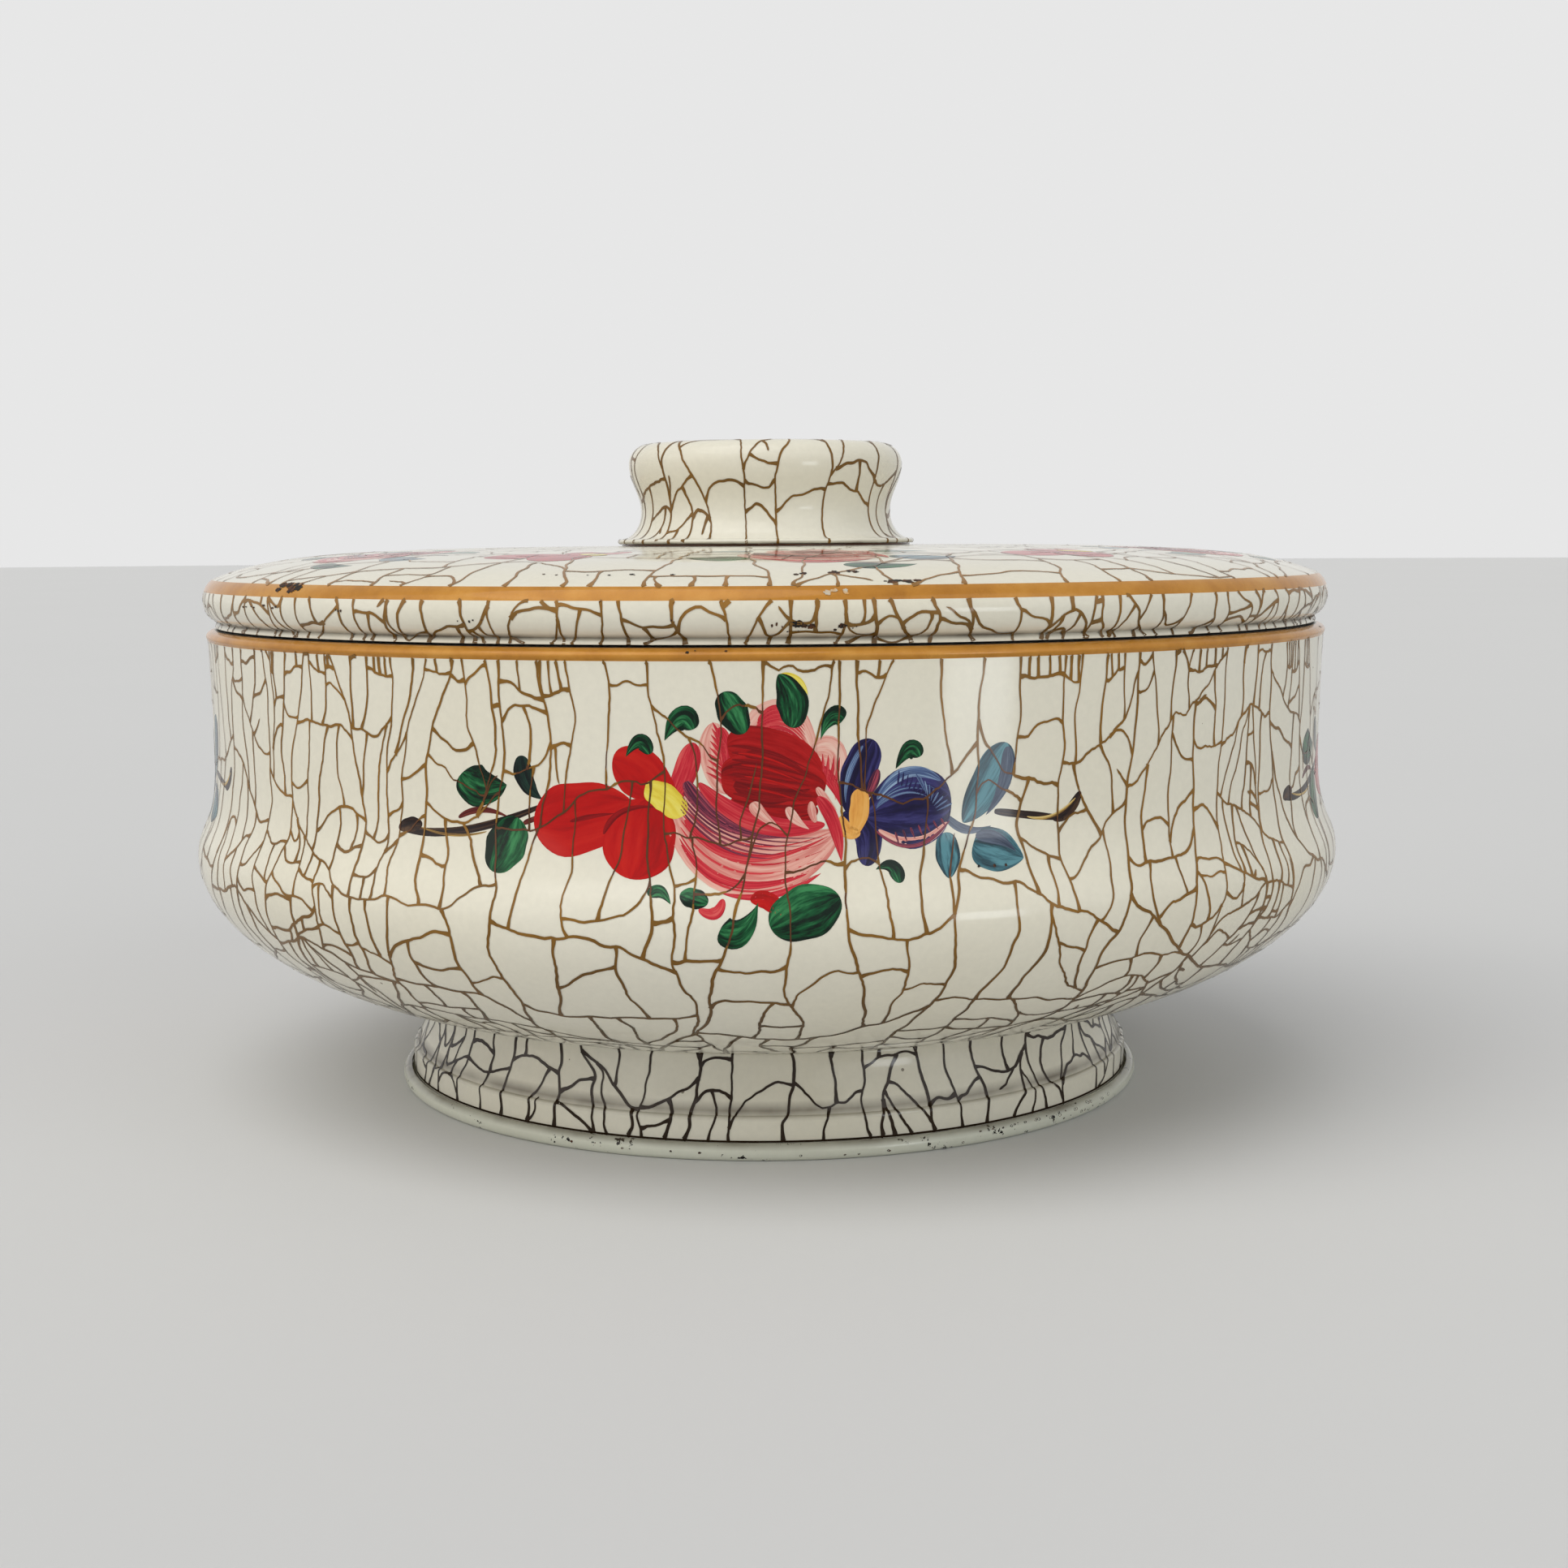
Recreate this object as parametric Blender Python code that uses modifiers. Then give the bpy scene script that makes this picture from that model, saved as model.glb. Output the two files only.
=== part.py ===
"""Round biscuit tin of printed tinplate: a footed bowl and a lift-off lid with a hollow spool knob.

Every shell is a sheet profile turned round Z. A profile follows the sheet's outer face from its top
to its bottom, and Solidify gives the sheet its thickness on the inside.
The bowl stands on a separate foot ring, and the lid rests on the bowl's shoulder, round its neck.
The knob's turned-in flange is held down on the lid by a disc inside it, a rivet and a washer.
"""

import math

import bmesh
import bpy

MM = 0.001

# Sheet metal and fits
SHEET = 0.35 * MM             # tinplate of every shell
SEAT_GAP = 0.3 * MM           # left between two faces that rest on each other
NECK_CLEARANCE = 0.5 * MM     # between the neck and the lid's crease, all round

# Foot ring, heights above the table
FOOT_HEIGHT = 17.9 * MM       # top of the flange under the bowl
FOOT_TOP_RADIUS = 67.0 * MM   # outside of the wall where it meets the bowl
FOOT_FLANGE = 8.0 * MM        # width of the flange turned in under the bowl
FOOT_BEND = 1.0 * MM          # radius of the bend between flange and wall
FOOT_FLARE = 3.0 * MM         # how far the wall spreads down to the ledge
LEDGE_HEIGHT = 7.4 * MM       # level of the ledge
LEDGE_WIDTH = 0.7 * MM        # ledge beyond the wall, rounded over into the band
FOOT_CURL_WIDTH = 2.4 * MM    # outward curl that the foot stands on
FOOT_CURL_HEIGHT = 3.0 * MM
FOOT_CURL_STEP = 36           # degrees, so that one facet of the curl lies flat on the table
FOOT_CURL_FACETS = 8
FOOT_HANDLE_SHARES = ((0.0, 0.6), (0.65, 0.3))   # spread and remaining height at the wall's handles

# Bowl, heights above its flat bottom
BOTTOM_RADIUS = 66.5 * MM     # flat bottom, which the foot's flange carries
NECK_RADIUS = 104.1 * MM      # outside of the neck
NECK_RISE = 8.0 * MM          # rim above the shoulder
RIM_CURL = 0.9 * MM           # radius of the rim's inward curl
RIM_CURL_START = 235          # degrees, under the curl, to 0 on the neck
NECK_FILLET = 0.5 * MM        # between neck and shoulder
SHOULDER_RISE = 70.6 * MM     # top of the shoulder bead
SHOULDER_REACH = 3.1 * MM     # bead beyond the neck
BEAD_HALF_WIDTH = 2.2 * MM
BEAD_HALF_HEIGHT = 1.35 * MM
BEAD_PROUD = 0.3 * MM         # bead beyond the wall below it
WAIST_RISE = 45.8 * MM        # narrowest level of the wall
WAIST_DEPTH = 0.5 * MM        # waist inside the top of the wall
BULGE_RISE = 28.4 * MM        # widest level
BULGE_DEPTH = 3.6 * MM        # bulge beyond the waist
WALL_HANDLE_SHARES = (0.3, 0.35)        # of the height from shoulder to waist
BULGE_HANDLE_SHARES = (0.67, 0.32)      # of the height from waist to bulge
UNDERSIDE_HANDLE_SHARES = (0.57, 0.31)  # of the height and width from bulge to flat bottom

# Lid, heights above its lower edge
HEM_HEIGHT = 1.0 * MM         # edge strip below the crease
HEM_FLARE = 0.5 * MM          # strip beyond the crease
HEM_END = 0.3 * MM            # upright end of the strip
SKIRT_DEPTH = 3.35 * MM       # half-round skirt, half its width
SKIRT_HALF_HEIGHT = 4.2 * MM
SKIRT_TOP_ANGLE = 73          # degrees above level where the dome meets the skirt
SKIRT_CREASE_ANGLE = 78       # degrees below level where the skirt turns into the crease
LID_HEIGHT = 14.4 * MM        # flat seat under the knob
DOME_HANDLE_SHARES = (0.77, 0.12)       # of the width from the knob to the skirt

# Knob, heights above the underside of its flange
KNOB_HEIGHT = 19.8 * MM
KNOB_WAIST_RADIUS = 24.45 * MM
KNOB_WAIST_RISE = 6.2 * MM
KNOB_SWELL = 2.3 * MM         # widest part of the head beyond the waist
KNOB_SWELL_RISE = 15.5 * MM
KNOB_CORNER = 4.0 * MM        # width of the rounding between head and top
KNOB_CROWN = 0.4 * MM         # rise of the top from its rounding to the middle
KNOB_FLARE = 4.6 * MM         # flange beyond the waist
KNOB_FLANGE_HEIGHT = 1.0 * MM
KNOB_TURN_IN = 4.9 * MM       # width of the flange's lower layer
KNOB_HEAD_HANDLE_SHARE = 0.4  # of the height from waist to head
KNOB_FLARE_HANDLE_SHARES = (0.45, 0.65)  # of the height and width from waist to flange

# Knob fastening
DISC_LAP = 0.9 * MM           # disc over the knob's turned-in layer
DISC_THICKNESS = 0.5 * MM
WASHER_RADIUS = 5.0 * MM
WASHER_THICKNESS = 0.5 * MM
RIVET_RADIUS = 1.5 * MM
RIVET_HEAD_REACH = 1.7 * MM   # head beyond the shank
RIVET_HEAD_HEIGHT = 1.0 * MM
RIVET_CLEARANCE = 0.3 * MM    # round the shank in each hole

# Facets round the axis, and along each stretch of a profile
RING_STEPS = 48               # round the bowl, foot and lid
KNOB_STEPS = 28
RIVET_STEPS = 16
BEND_FACETS = 2               # small fillets and bends
RIM_FACETS = 6
BEAD_FACETS = 5
WALL_FACETS = 2
FOOT_WALL_FACETS = 3
SWELL_FACETS = 5
UNDERSIDE_FACETS = 8
DOME_FACETS = 4
SKIRT_FACETS = 8
KNOB_FACETS = 4               # each curve of the knob
HEAD_FACETS = 3               # each end of the rivet
MERGE_DISTANCE = 0.05 * MM

# Sizes that follow from those above
SHOULDER_RADIUS = NECK_RADIUS + SHOULDER_REACH
WALL_TOP_RADIUS = SHOULDER_RADIUS - BEAD_PROUD
WAIST_RADIUS = WALL_TOP_RADIUS - WAIST_DEPTH
BULGE_RADIUS = WAIST_RADIUS + BULGE_DEPTH
KNOB_FLANGE_RADIUS = KNOB_WAIST_RADIUS + KNOB_FLARE
KNOB_MOUTH_RADIUS = KNOB_FLANGE_RADIUS - KNOB_TURN_IN
RIVET_HOLE_RADIUS = RIVET_RADIUS + RIVET_CLEARANCE

# Levels at which the pieces stand, above the table
BOWL_LEVEL = FOOT_HEIGHT + SEAT_GAP
LID_LEVEL = BOWL_LEVEL + SHOULDER_RISE + SEAT_GAP
KNOB_LEVEL = LID_LEVEL + LID_HEIGHT + SEAT_GAP

# Colours, linear RGB
CREAM = (0.76, 0.72, 0.60)
PLAIN_TIN = (0.60, 0.59, 0.56)


def oval(centre, half_width, half_height, start, end, steps):
    """Points on an upright ellipse, from one angle to another in degrees."""
    points = []
    for index in range(steps + 1):
        angle = math.radians(start + (end - start) * index / steps)
        radius = centre[0] + half_width * math.cos(angle)
        points.append((radius, centre[1] + half_height * math.sin(angle)))
    return points


def arc(centre, radius, start, end, steps):
    """Points on a circle, from one angle to another in degrees."""
    return oval(centre, radius, radius, start, end, steps)


def sweep(start, start_handle, end_handle, end, steps):
    """Points on a cubic curve, given by its ends and its two handles."""
    points = []
    for index in range(steps + 1):
        t = index / steps
        weights = ((1 - t) ** 3, 3 * (1 - t) ** 2 * t, 3 * (1 - t) * t ** 2, t ** 3)
        corners = (start, start_handle, end_handle, end)
        radius = sum(w * corner[0] for w, corner in zip(weights, corners))
        height = sum(w * corner[1] for w, corner in zip(weights, corners))
        points.append((radius, height))
    return points


def joined(*runs):
    """One profile from runs that follow each other, with shared end points kept once."""
    profile = []
    for run in runs:
        for point in run:
            if profile and math.dist(profile[-1], point) < MERGE_DISTANCE:
                continue
            profile.append(point)
    return profile


def foot_profile():
    """Outer face of the foot ring, from its inner flange to the tip of the curl."""
    wall_top = (FOOT_TOP_RADIUS, FOOT_HEIGHT - FOOT_BEND)
    ledge = (FOOT_TOP_RADIUS + FOOT_FLARE, LEDGE_HEIGHT)
    band_radius = ledge[0] + LEDGE_WIDTH
    drop = wall_top[1] - LEDGE_HEIGHT
    handles = [(FOOT_TOP_RADIUS + FOOT_FLARE * spread, LEDGE_HEIGHT + drop * height)
               for spread, height in FOOT_HANDLE_SHARES]
    flange = [(FOOT_TOP_RADIUS - FOOT_FLANGE, FOOT_HEIGHT)]
    bend_centre = (FOOT_TOP_RADIUS - FOOT_BEND, wall_top[1])
    bend = arc(bend_centre, FOOT_BEND, 90, 0, BEND_FACETS)
    wall = sweep(wall_top, *handles, ledge, FOOT_WALL_FACETS)
    corner = arc((ledge[0], LEDGE_HEIGHT - LEDGE_WIDTH), LEDGE_WIDTH, 90, 0, BEND_FACETS)
    # The sheet's outer face is the inside of the curl, and the facet under it is level.
    half_width = FOOT_CURL_WIDTH / 2 - SHEET
    half_height = FOOT_CURL_HEIGHT / 2 - SHEET
    flat_drop = half_height * math.cos(math.radians(FOOT_CURL_STEP / 2))
    curl_centre = (band_radius + half_width, SHEET + flat_drop)
    curl_end = 180 + FOOT_CURL_STEP * FOOT_CURL_FACETS
    curl = oval(curl_centre, half_width, half_height, 180, curl_end, FOOT_CURL_FACETS)
    return joined(flange, bend, wall, corner, curl)


def bowl_profile():
    """Outer face of the bowl, from the rim's inward curl to the middle of the bottom."""
    rim_centre = (NECK_RADIUS - RIM_CURL, SHOULDER_RISE + NECK_RISE - RIM_CURL)
    rim = arc(rim_centre, RIM_CURL, RIM_CURL_START, 0, RIM_FACETS)
    fillet_centre = (NECK_RADIUS + NECK_FILLET, SHOULDER_RISE + NECK_FILLET)
    fillet = arc(fillet_centre, NECK_FILLET, 180, 270, BEND_FACETS)
    bead_centre = (SHOULDER_RADIUS - BEAD_HALF_WIDTH, SHOULDER_RISE - BEAD_HALF_HEIGHT)
    bead_end = math.degrees(math.acos(1 - BEAD_PROUD / BEAD_HALF_WIDTH))
    bead = oval(bead_centre, BEAD_HALF_WIDTH, BEAD_HALF_HEIGHT, 90, -bead_end, BEAD_FACETS)
    wall_top = bead[-1]
    waist = (WAIST_RADIUS, WAIST_RISE)
    bulge = (BULGE_RADIUS, BULGE_RISE)
    upper = wall_top[1] - WAIST_RISE
    lower = WAIST_RISE - BULGE_RISE
    wall = sweep(wall_top,
                 (WALL_TOP_RADIUS - WAIST_DEPTH / 2, wall_top[1] - upper * WALL_HANDLE_SHARES[0]),
                 (WAIST_RADIUS, WAIST_RISE + upper * WALL_HANDLE_SHARES[1]),
                 waist, WALL_FACETS)
    swell = sweep(waist,
                  (WAIST_RADIUS, WAIST_RISE - lower * BULGE_HANDLE_SHARES[0]),
                  (BULGE_RADIUS, BULGE_RISE + lower * BULGE_HANDLE_SHARES[1]),
                  bulge, SWELL_FACETS)
    reach = BULGE_RADIUS - BOTTOM_RADIUS
    underside = sweep(bulge,
                      (BULGE_RADIUS, BULGE_RISE * (1 - UNDERSIDE_HANDLE_SHARES[0])),
                      (BOTTOM_RADIUS + reach * UNDERSIDE_HANDLE_SHARES[1], 0),
                      (BOTTOM_RADIUS, 0), UNDERSIDE_FACETS)
    return joined(rim, fillet, bead, wall, swell, underside, [(0, 0)])


def lid_profile():
    """Outer face of the lid, from the rivet hole to the lower edge."""
    crease_radius = NECK_RADIUS + NECK_CLEARANCE + SHEET
    crease_angle = math.radians(SKIRT_CREASE_ANGLE)
    skirt_centre = (crease_radius - SKIRT_DEPTH * math.cos(crease_angle),
                    HEM_HEIGHT + SKIRT_HALF_HEIGHT * math.sin(crease_angle))
    skirt = oval(skirt_centre, SKIRT_DEPTH, SKIRT_HALF_HEIGHT, SKIRT_TOP_ANGLE,
                 -SKIRT_CREASE_ANGLE, SKIRT_FACETS)
    # The dome runs into the skirt along the skirt's own slope.
    top_angle = math.radians(SKIRT_TOP_ANGLE)
    slope = SKIRT_HALF_HEIGHT * math.cos(top_angle) / (SKIRT_DEPTH * math.sin(top_angle))
    span = skirt[0][0] - KNOB_FLANGE_RADIUS
    first_handle = (KNOB_FLANGE_RADIUS + span * DOME_HANDLE_SHARES[0], LID_HEIGHT)
    last_reach = span * DOME_HANDLE_SHARES[1]
    last_handle = (skirt[0][0] - last_reach, skirt[0][1] + last_reach * slope)
    seat = [(RIVET_HOLE_RADIUS, LID_HEIGHT)]
    dome = sweep((KNOB_FLANGE_RADIUS, LID_HEIGHT), first_handle, last_handle, skirt[0],
                 DOME_FACETS)
    hem = [(crease_radius + HEM_FLARE, HEM_END), (crease_radius + HEM_FLARE, 0)]
    return joined(seat, dome, skirt, hem)


def knob_profile():
    """Outer face of the knob, from the middle of its top to the edge of its turned-in layer."""
    head_radius = KNOB_WAIST_RADIUS + KNOB_SWELL
    corner_height = KNOB_HEIGHT - KNOB_CROWN - KNOB_SWELL_RISE
    corner_centre = (head_radius - KNOB_CORNER, KNOB_SWELL_RISE)
    corner = oval(corner_centre, KNOB_CORNER, corner_height, 90, 0, KNOB_FACETS)
    head = (head_radius, KNOB_SWELL_RISE)
    waist = (KNOB_WAIST_RADIUS, KNOB_WAIST_RISE)
    pull = (KNOB_SWELL_RISE - KNOB_WAIST_RISE) * KNOB_HEAD_HANDLE_SHARE
    side = sweep(head, (head_radius, KNOB_SWELL_RISE - pull),
                 (KNOB_WAIST_RADIUS, KNOB_WAIST_RISE + pull), waist, KNOB_FACETS)
    fold = KNOB_FLANGE_HEIGHT / 2
    edge_radius = KNOB_FLANGE_RADIUS - fold
    flare_height = KNOB_WAIST_RISE - KNOB_FLANGE_HEIGHT
    flare_width = edge_radius - KNOB_WAIST_RADIUS
    flare = sweep(waist,
                  (KNOB_WAIST_RADIUS, KNOB_WAIST_RISE - flare_height * KNOB_FLARE_HANDLE_SHARES[0]),
                  (edge_radius - flare_width * KNOB_FLARE_HANDLE_SHARES[1], KNOB_FLANGE_HEIGHT),
                  (edge_radius, KNOB_FLANGE_HEIGHT), KNOB_FACETS)
    edge = arc((edge_radius, fold), fold, 90, -90, KNOB_FACETS)
    return joined([(0, KNOB_HEIGHT)], corner, side, flare, edge, [(KNOB_MOUTH_RADIUS, 0)])


def ring_profile(inner_radius, outer_radius, thickness):
    """Closed section of a flat ring that lies on level 0."""
    return [(outer_radius, thickness), (outer_radius, 0), (inner_radius, 0), (inner_radius, thickness)]


def rivet_profile():
    """Solid rivet, from the middle of its upper head to the middle of its clenched end."""
    head_radius = RIVET_RADIUS + RIVET_HEAD_REACH
    head_foot = SHEET + DISC_THICKNESS + 2 * SEAT_GAP
    end_top = -(SHEET + WASHER_THICKNESS + 3 * SEAT_GAP)
    upper = oval((0, head_foot), head_radius, RIVET_HEAD_HEIGHT, 90, 0, HEAD_FACETS)
    lower = oval((0, end_top), head_radius, RIVET_HEAD_HEIGHT, 0, -90, HEAD_FACETS)
    shank = [(RIVET_RADIUS, head_foot), (RIVET_RADIUS, end_top)]
    return joined(upper, shank, lower)


def material(name, colour, roughness, metallic):
    """A Principled material of one colour."""
    finish = bpy.data.materials.new(name)
    finish.use_nodes = True
    shader = finish.node_tree.nodes["Principled BSDF"]
    shader.inputs["Base Color"].default_value = (*colour, 1)
    shader.inputs["Roughness"].default_value = roughness
    shader.inputs["Metallic"].default_value = metallic
    return finish


def turned(name, profile, steps, finish, closed=False, sheet=None):
    """A profile of (radius, height) points turned round Z, with a sheet's thickness if one is given."""
    outline = bmesh.new()
    corners = [outline.verts.new((radius, 0, height)) for radius, height in profile]
    for above, below in zip(corners, corners[1:]):
        outline.edges.new((above, below))
    if closed:
        outline.edges.new((corners[-1], corners[0]))
    mesh = bpy.data.meshes.new(name)
    outline.to_mesh(mesh)
    outline.free()
    mesh.materials.append(finish)
    piece = bpy.data.objects.new(name, mesh)
    screw = piece.modifiers.new("Turn", 'SCREW')
    screw.axis = 'Z'
    screw.angle = math.tau
    screw.steps = steps
    screw.render_steps = steps
    screw.use_smooth_shade = True
    screw.use_merge_vertices = True
    screw.merge_threshold = MERGE_DISTANCE
    if sheet:
        wall = piece.modifiers.new("Sheet", 'SOLIDIFY')
        wall.thickness = sheet
        wall.offset = -1
        wall.use_even_offset = True
    return piece


def placed(piece, collection, level, carrier=None):
    """Put a piece in the collection at its level, carried by an empty if one is given."""
    collection.objects.link(piece)
    piece.location.z = level
    if carrier:
        piece.parent = carrier
        piece.location.z = level - carrier.location.z
    return piece


def clear_scene():
    """Remove what the file opened with."""
    for thing in list(bpy.data.objects):
        bpy.data.objects.remove(thing, do_unlink=True)


def build():
    """Make every piece of the tin and put it in its place."""
    clear_scene()
    collection = bpy.data.collections.new("biscuit_tin")
    bpy.context.scene.collection.children.link(collection)

    bowl = turned("bowl_shell", bowl_profile(), RING_STEPS,
                  material("bowl_lacquer", CREAM, 0.22, 0.0), sheet=SHEET)
    placed(bowl, collection, BOWL_LEVEL)
    foot = turned("foot_ring", foot_profile(), RING_STEPS,
                  material("foot_lacquer", CREAM, 0.24, 0.0), sheet=SHEET)
    placed(foot, collection, 0)

    # The lid and all that is riveted to it lift together along Z.
    lift = bpy.data.objects.new("lid_lift", None)
    collection.objects.link(lift)
    lift.location.z = LID_LEVEL
    lid = turned("lid_shell", lid_profile(), RING_STEPS,
                 material("lid_lacquer", CREAM, 0.20, 0.0), sheet=SHEET)
    placed(lid, collection, LID_LEVEL, lift)
    knob = turned("knob_shell", knob_profile(), KNOB_STEPS,
                  material("knob_lacquer", CREAM, 0.20, 0.0), sheet=SHEET)
    placed(knob, collection, KNOB_LEVEL, lift)

    disc_section = ring_profile(RIVET_HOLE_RADIUS, KNOB_MOUTH_RADIUS + DISC_LAP, DISC_THICKNESS)
    disc = turned("knob_base_disc", disc_section, KNOB_STEPS,
                  material("disc_tin", PLAIN_TIN, 0.35, 1.0), closed=True)
    placed(disc, collection, KNOB_LEVEL + SHEET + SEAT_GAP, lift)
    washer_section = ring_profile(RIVET_HOLE_RADIUS, WASHER_RADIUS, WASHER_THICKNESS)
    washer = turned("knob_washer", washer_section, RIVET_STEPS,
                    material("washer_tin", PLAIN_TIN, 0.35, 1.0), closed=True)
    placed(washer, collection, KNOB_LEVEL - SHEET - WASHER_THICKNESS - 2 * SEAT_GAP, lift)
    rivet = turned("knob_rivet", rivet_profile(), RIVET_STEPS,
                   material("rivet_steel", PLAIN_TIN, 0.30, 1.0))
    placed(rivet, collection, KNOB_LEVEL, lift)


build()
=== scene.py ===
"""Looks of the round biscuit tin: its printed tinplate, flowers, crackle, gold bands and wear.

Each visible sheet is turned again from the sizes of its CAD node, with fine facets, and its inside is
plain tinplate, but for the foot's, which is plain lacquer. The print lies on it in thin layers. The
gold bands are faces of the sheet itself, and
the flowers are brush strokes. The crackle is a net of lines that split the flat blank, carried onto
the shape as the sheet was drawn, so that it stretches up the wall and round the lid's skirt.
"""

import math
import random

import bmesh
import bpy
import numpy as np
from mathutils import Matrix, Vector


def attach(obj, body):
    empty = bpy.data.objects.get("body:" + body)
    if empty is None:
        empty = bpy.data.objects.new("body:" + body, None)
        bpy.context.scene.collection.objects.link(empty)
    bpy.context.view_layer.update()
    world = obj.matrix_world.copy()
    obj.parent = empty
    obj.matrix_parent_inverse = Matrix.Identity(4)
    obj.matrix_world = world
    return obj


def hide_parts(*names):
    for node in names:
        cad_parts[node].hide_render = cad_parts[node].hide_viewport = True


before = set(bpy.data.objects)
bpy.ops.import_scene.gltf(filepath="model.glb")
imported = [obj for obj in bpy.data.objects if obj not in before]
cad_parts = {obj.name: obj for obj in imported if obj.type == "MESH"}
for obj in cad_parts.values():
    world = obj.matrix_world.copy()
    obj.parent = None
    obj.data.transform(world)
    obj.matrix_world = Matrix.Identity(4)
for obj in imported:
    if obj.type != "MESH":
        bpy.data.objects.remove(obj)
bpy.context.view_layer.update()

MM = 0.001

# Sizes of the sheets, the same as the CAD model's
SHEET = 0.35 * MM
SEAT_GAP = 0.3 * MM
NECK_CLEARANCE = 0.5 * MM
FOOT_HEIGHT = 17.9 * MM
FOOT_TOP_RADIUS = 67.0 * MM
FOOT_FLANGE = 8.0 * MM
FOOT_BEND = 1.0 * MM
FOOT_FLARE = 3.0 * MM
LEDGE_HEIGHT = 7.4 * MM
LEDGE_WIDTH = 0.7 * MM
FOOT_CURL_WIDTH = 2.4 * MM
FOOT_CURL_HEIGHT = 3.0 * MM
FOOT_CURL_TURN = 288
FOOT_HANDLE_SHARES = ((0.0, 0.6), (0.65, 0.3))
BOTTOM_RADIUS = 66.5 * MM
NECK_RADIUS = 104.1 * MM
NECK_RISE = 8.0 * MM
RIM_CURL = 0.9 * MM
RIM_CURL_START = 235
NECK_FILLET = 0.5 * MM
SHOULDER_RISE = 70.6 * MM
SHOULDER_RADIUS = NECK_RADIUS + 3.1 * MM
BEAD_HALF_WIDTH = 2.2 * MM
BEAD_HALF_HEIGHT = 1.35 * MM
BEAD_PROUD = 0.3 * MM
WAIST_RISE = 45.8 * MM
WAIST_DEPTH = 0.5 * MM
WAIST_RADIUS = SHOULDER_RADIUS - BEAD_PROUD - WAIST_DEPTH
BULGE_RISE = 28.4 * MM
BULGE_RADIUS = WAIST_RADIUS + 3.6 * MM
WALL_HANDLE_SHARES = (0.3, 0.35)
BULGE_HANDLE_SHARES = (0.67, 0.32)
UNDERSIDE_HANDLE_SHARES = (0.57, 0.31)
HEM_HEIGHT = 1.0 * MM
HEM_FLARE = 0.5 * MM
HEM_END = 0.3 * MM
SKIRT_DEPTH = 3.35 * MM
SKIRT_HALF_HEIGHT = 4.2 * MM
SKIRT_TOP_ANGLE = 73
SKIRT_CREASE_ANGLE = 78
LID_HEIGHT = 14.4 * MM
DOME_HANDLE_SHARES = (0.77, 0.12)
RIVET_HOLE_RADIUS = 1.8 * MM
KNOB_HEIGHT = 19.8 * MM
KNOB_WAIST_RADIUS = 24.45 * MM
KNOB_WAIST_RISE = 6.2 * MM
KNOB_SWELL = 2.3 * MM
KNOB_SWELL_RISE = 15.5 * MM
KNOB_CORNER = 4.0 * MM
KNOB_CROWN = 0.4 * MM
KNOB_FLANGE_RADIUS = KNOB_WAIST_RADIUS + 4.6 * MM
KNOB_FLANGE_HEIGHT = 1.0 * MM
KNOB_TURN_IN = 4.9 * MM
KNOB_HEAD_HANDLE_SHARE = 0.4
KNOB_FLARE_HANDLE_SHARES = (0.45, 0.65)
BOWL_LEVEL = FOOT_HEIGHT + SEAT_GAP
LID_LEVEL = BOWL_LEVEL + SHOULDER_RISE + SEAT_GAP
KNOB_LEVEL = LID_LEVEL + LID_HEIGHT + SEAT_GAP

# Facets of the fine sheets
RING_STEPS = 256
KNOB_STEPS = 160
TIGHT_FACETS = 10             # beads, bends and curls
WIDE_FACETS = 30              # long curves
SAME_POINT = 0.01 * MM        # ends of curves closer than this are one point
SHARP_ANGLE = math.radians(50)

# Print, places above the table and angles round the axis
FRONT = -math.pi / 2
PRINT_DEPTH = 0.08 * MM       # sheet's face below the CAD face, so that the print ends on that
LAYER = 0.007 * MM            # from one layer of paint to the next
CRACKLE_DEPTH = 0.004 * MM
CHIP_DEPTH = 0.001 * MM
# how far the painted shade reaches from the lid's crease and the knob's flange
SHADE_REACH = 0.7 * MM
BOWL_BAND = (86.7 * MM, 88.75 * MM)       # heights of the gold band on the shoulder
LID_BAND_ANGLES = (62.5, 22)              # on the skirt's half-round
COMB_HEIGHT = 86.9 * MM                   # the bowl's combs of short lines start under the band, here
CURL_TOP = 3.05 * MM                      # the foot's plain curl starts here
SPRAYS = 4
SPRAY_HEIGHT = 65.0 * MM
WREATH_RADIUS = 82.0 * MM
WREATH_ROSES = 6
WREATH_TURN = math.radians(6)
WREATH_SCALE = 0.84
WREATH_FLOWER_TURN = -22                  # degrees
FOOT_CELL, SKIRT_CELL, KNOB_CELL = 8.2 * MM, 5.8 * MM, 8.6 * MM      # crackle cells
FOOT_PULL, SKIRT_PULL, KNOB_PULL = 1.3, 1.1, 1.05         # how much longer than wide they are
LID_CELL, LID_CELL_SHRINK = 17 * MM, 0.07                 # at the middle, and per metre outwards
BOWL_LEAN, FOOT_LEAN, SKIRT_LEAN = 1.25, 1.8, 2.2
BOWL_LINE, FOOT_LINE, KNOB_LINE = 0.35 * MM, 0.46 * MM, 0.44 * MM    # widths of the crackle's lines
LID_LINE, SKIRT_LINE = 0.36 * MM, 0.43 * MM
BOWL_WIDENING = 0.8                       # share by which the bowl's lines are wider at the bottom
LID_FLARE = 1.3                           # of the lid's lines where the gold band cuts them off
# how far the painted shade reaches above the foot's ledge
LEDGE_SHADE_REACH = 1.6 * MM
CURL_DARKENING = (3.1 * MM, 1.2 * MM)         # height and reach of the darkening near the top of the curl
CURL_WEAR_SHARE = 0.38
CORNER_DARK_BAND = (2.85 * MM, 3.2 * MM)      # lower and upper edge of the dark band on the foot just above the curl
JOINT_INSET, KNOB_JOINT_INSET = 0.6 * MM, 0.8 * MM    # of the painted shadow ring inside the edge of a joint


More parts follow.
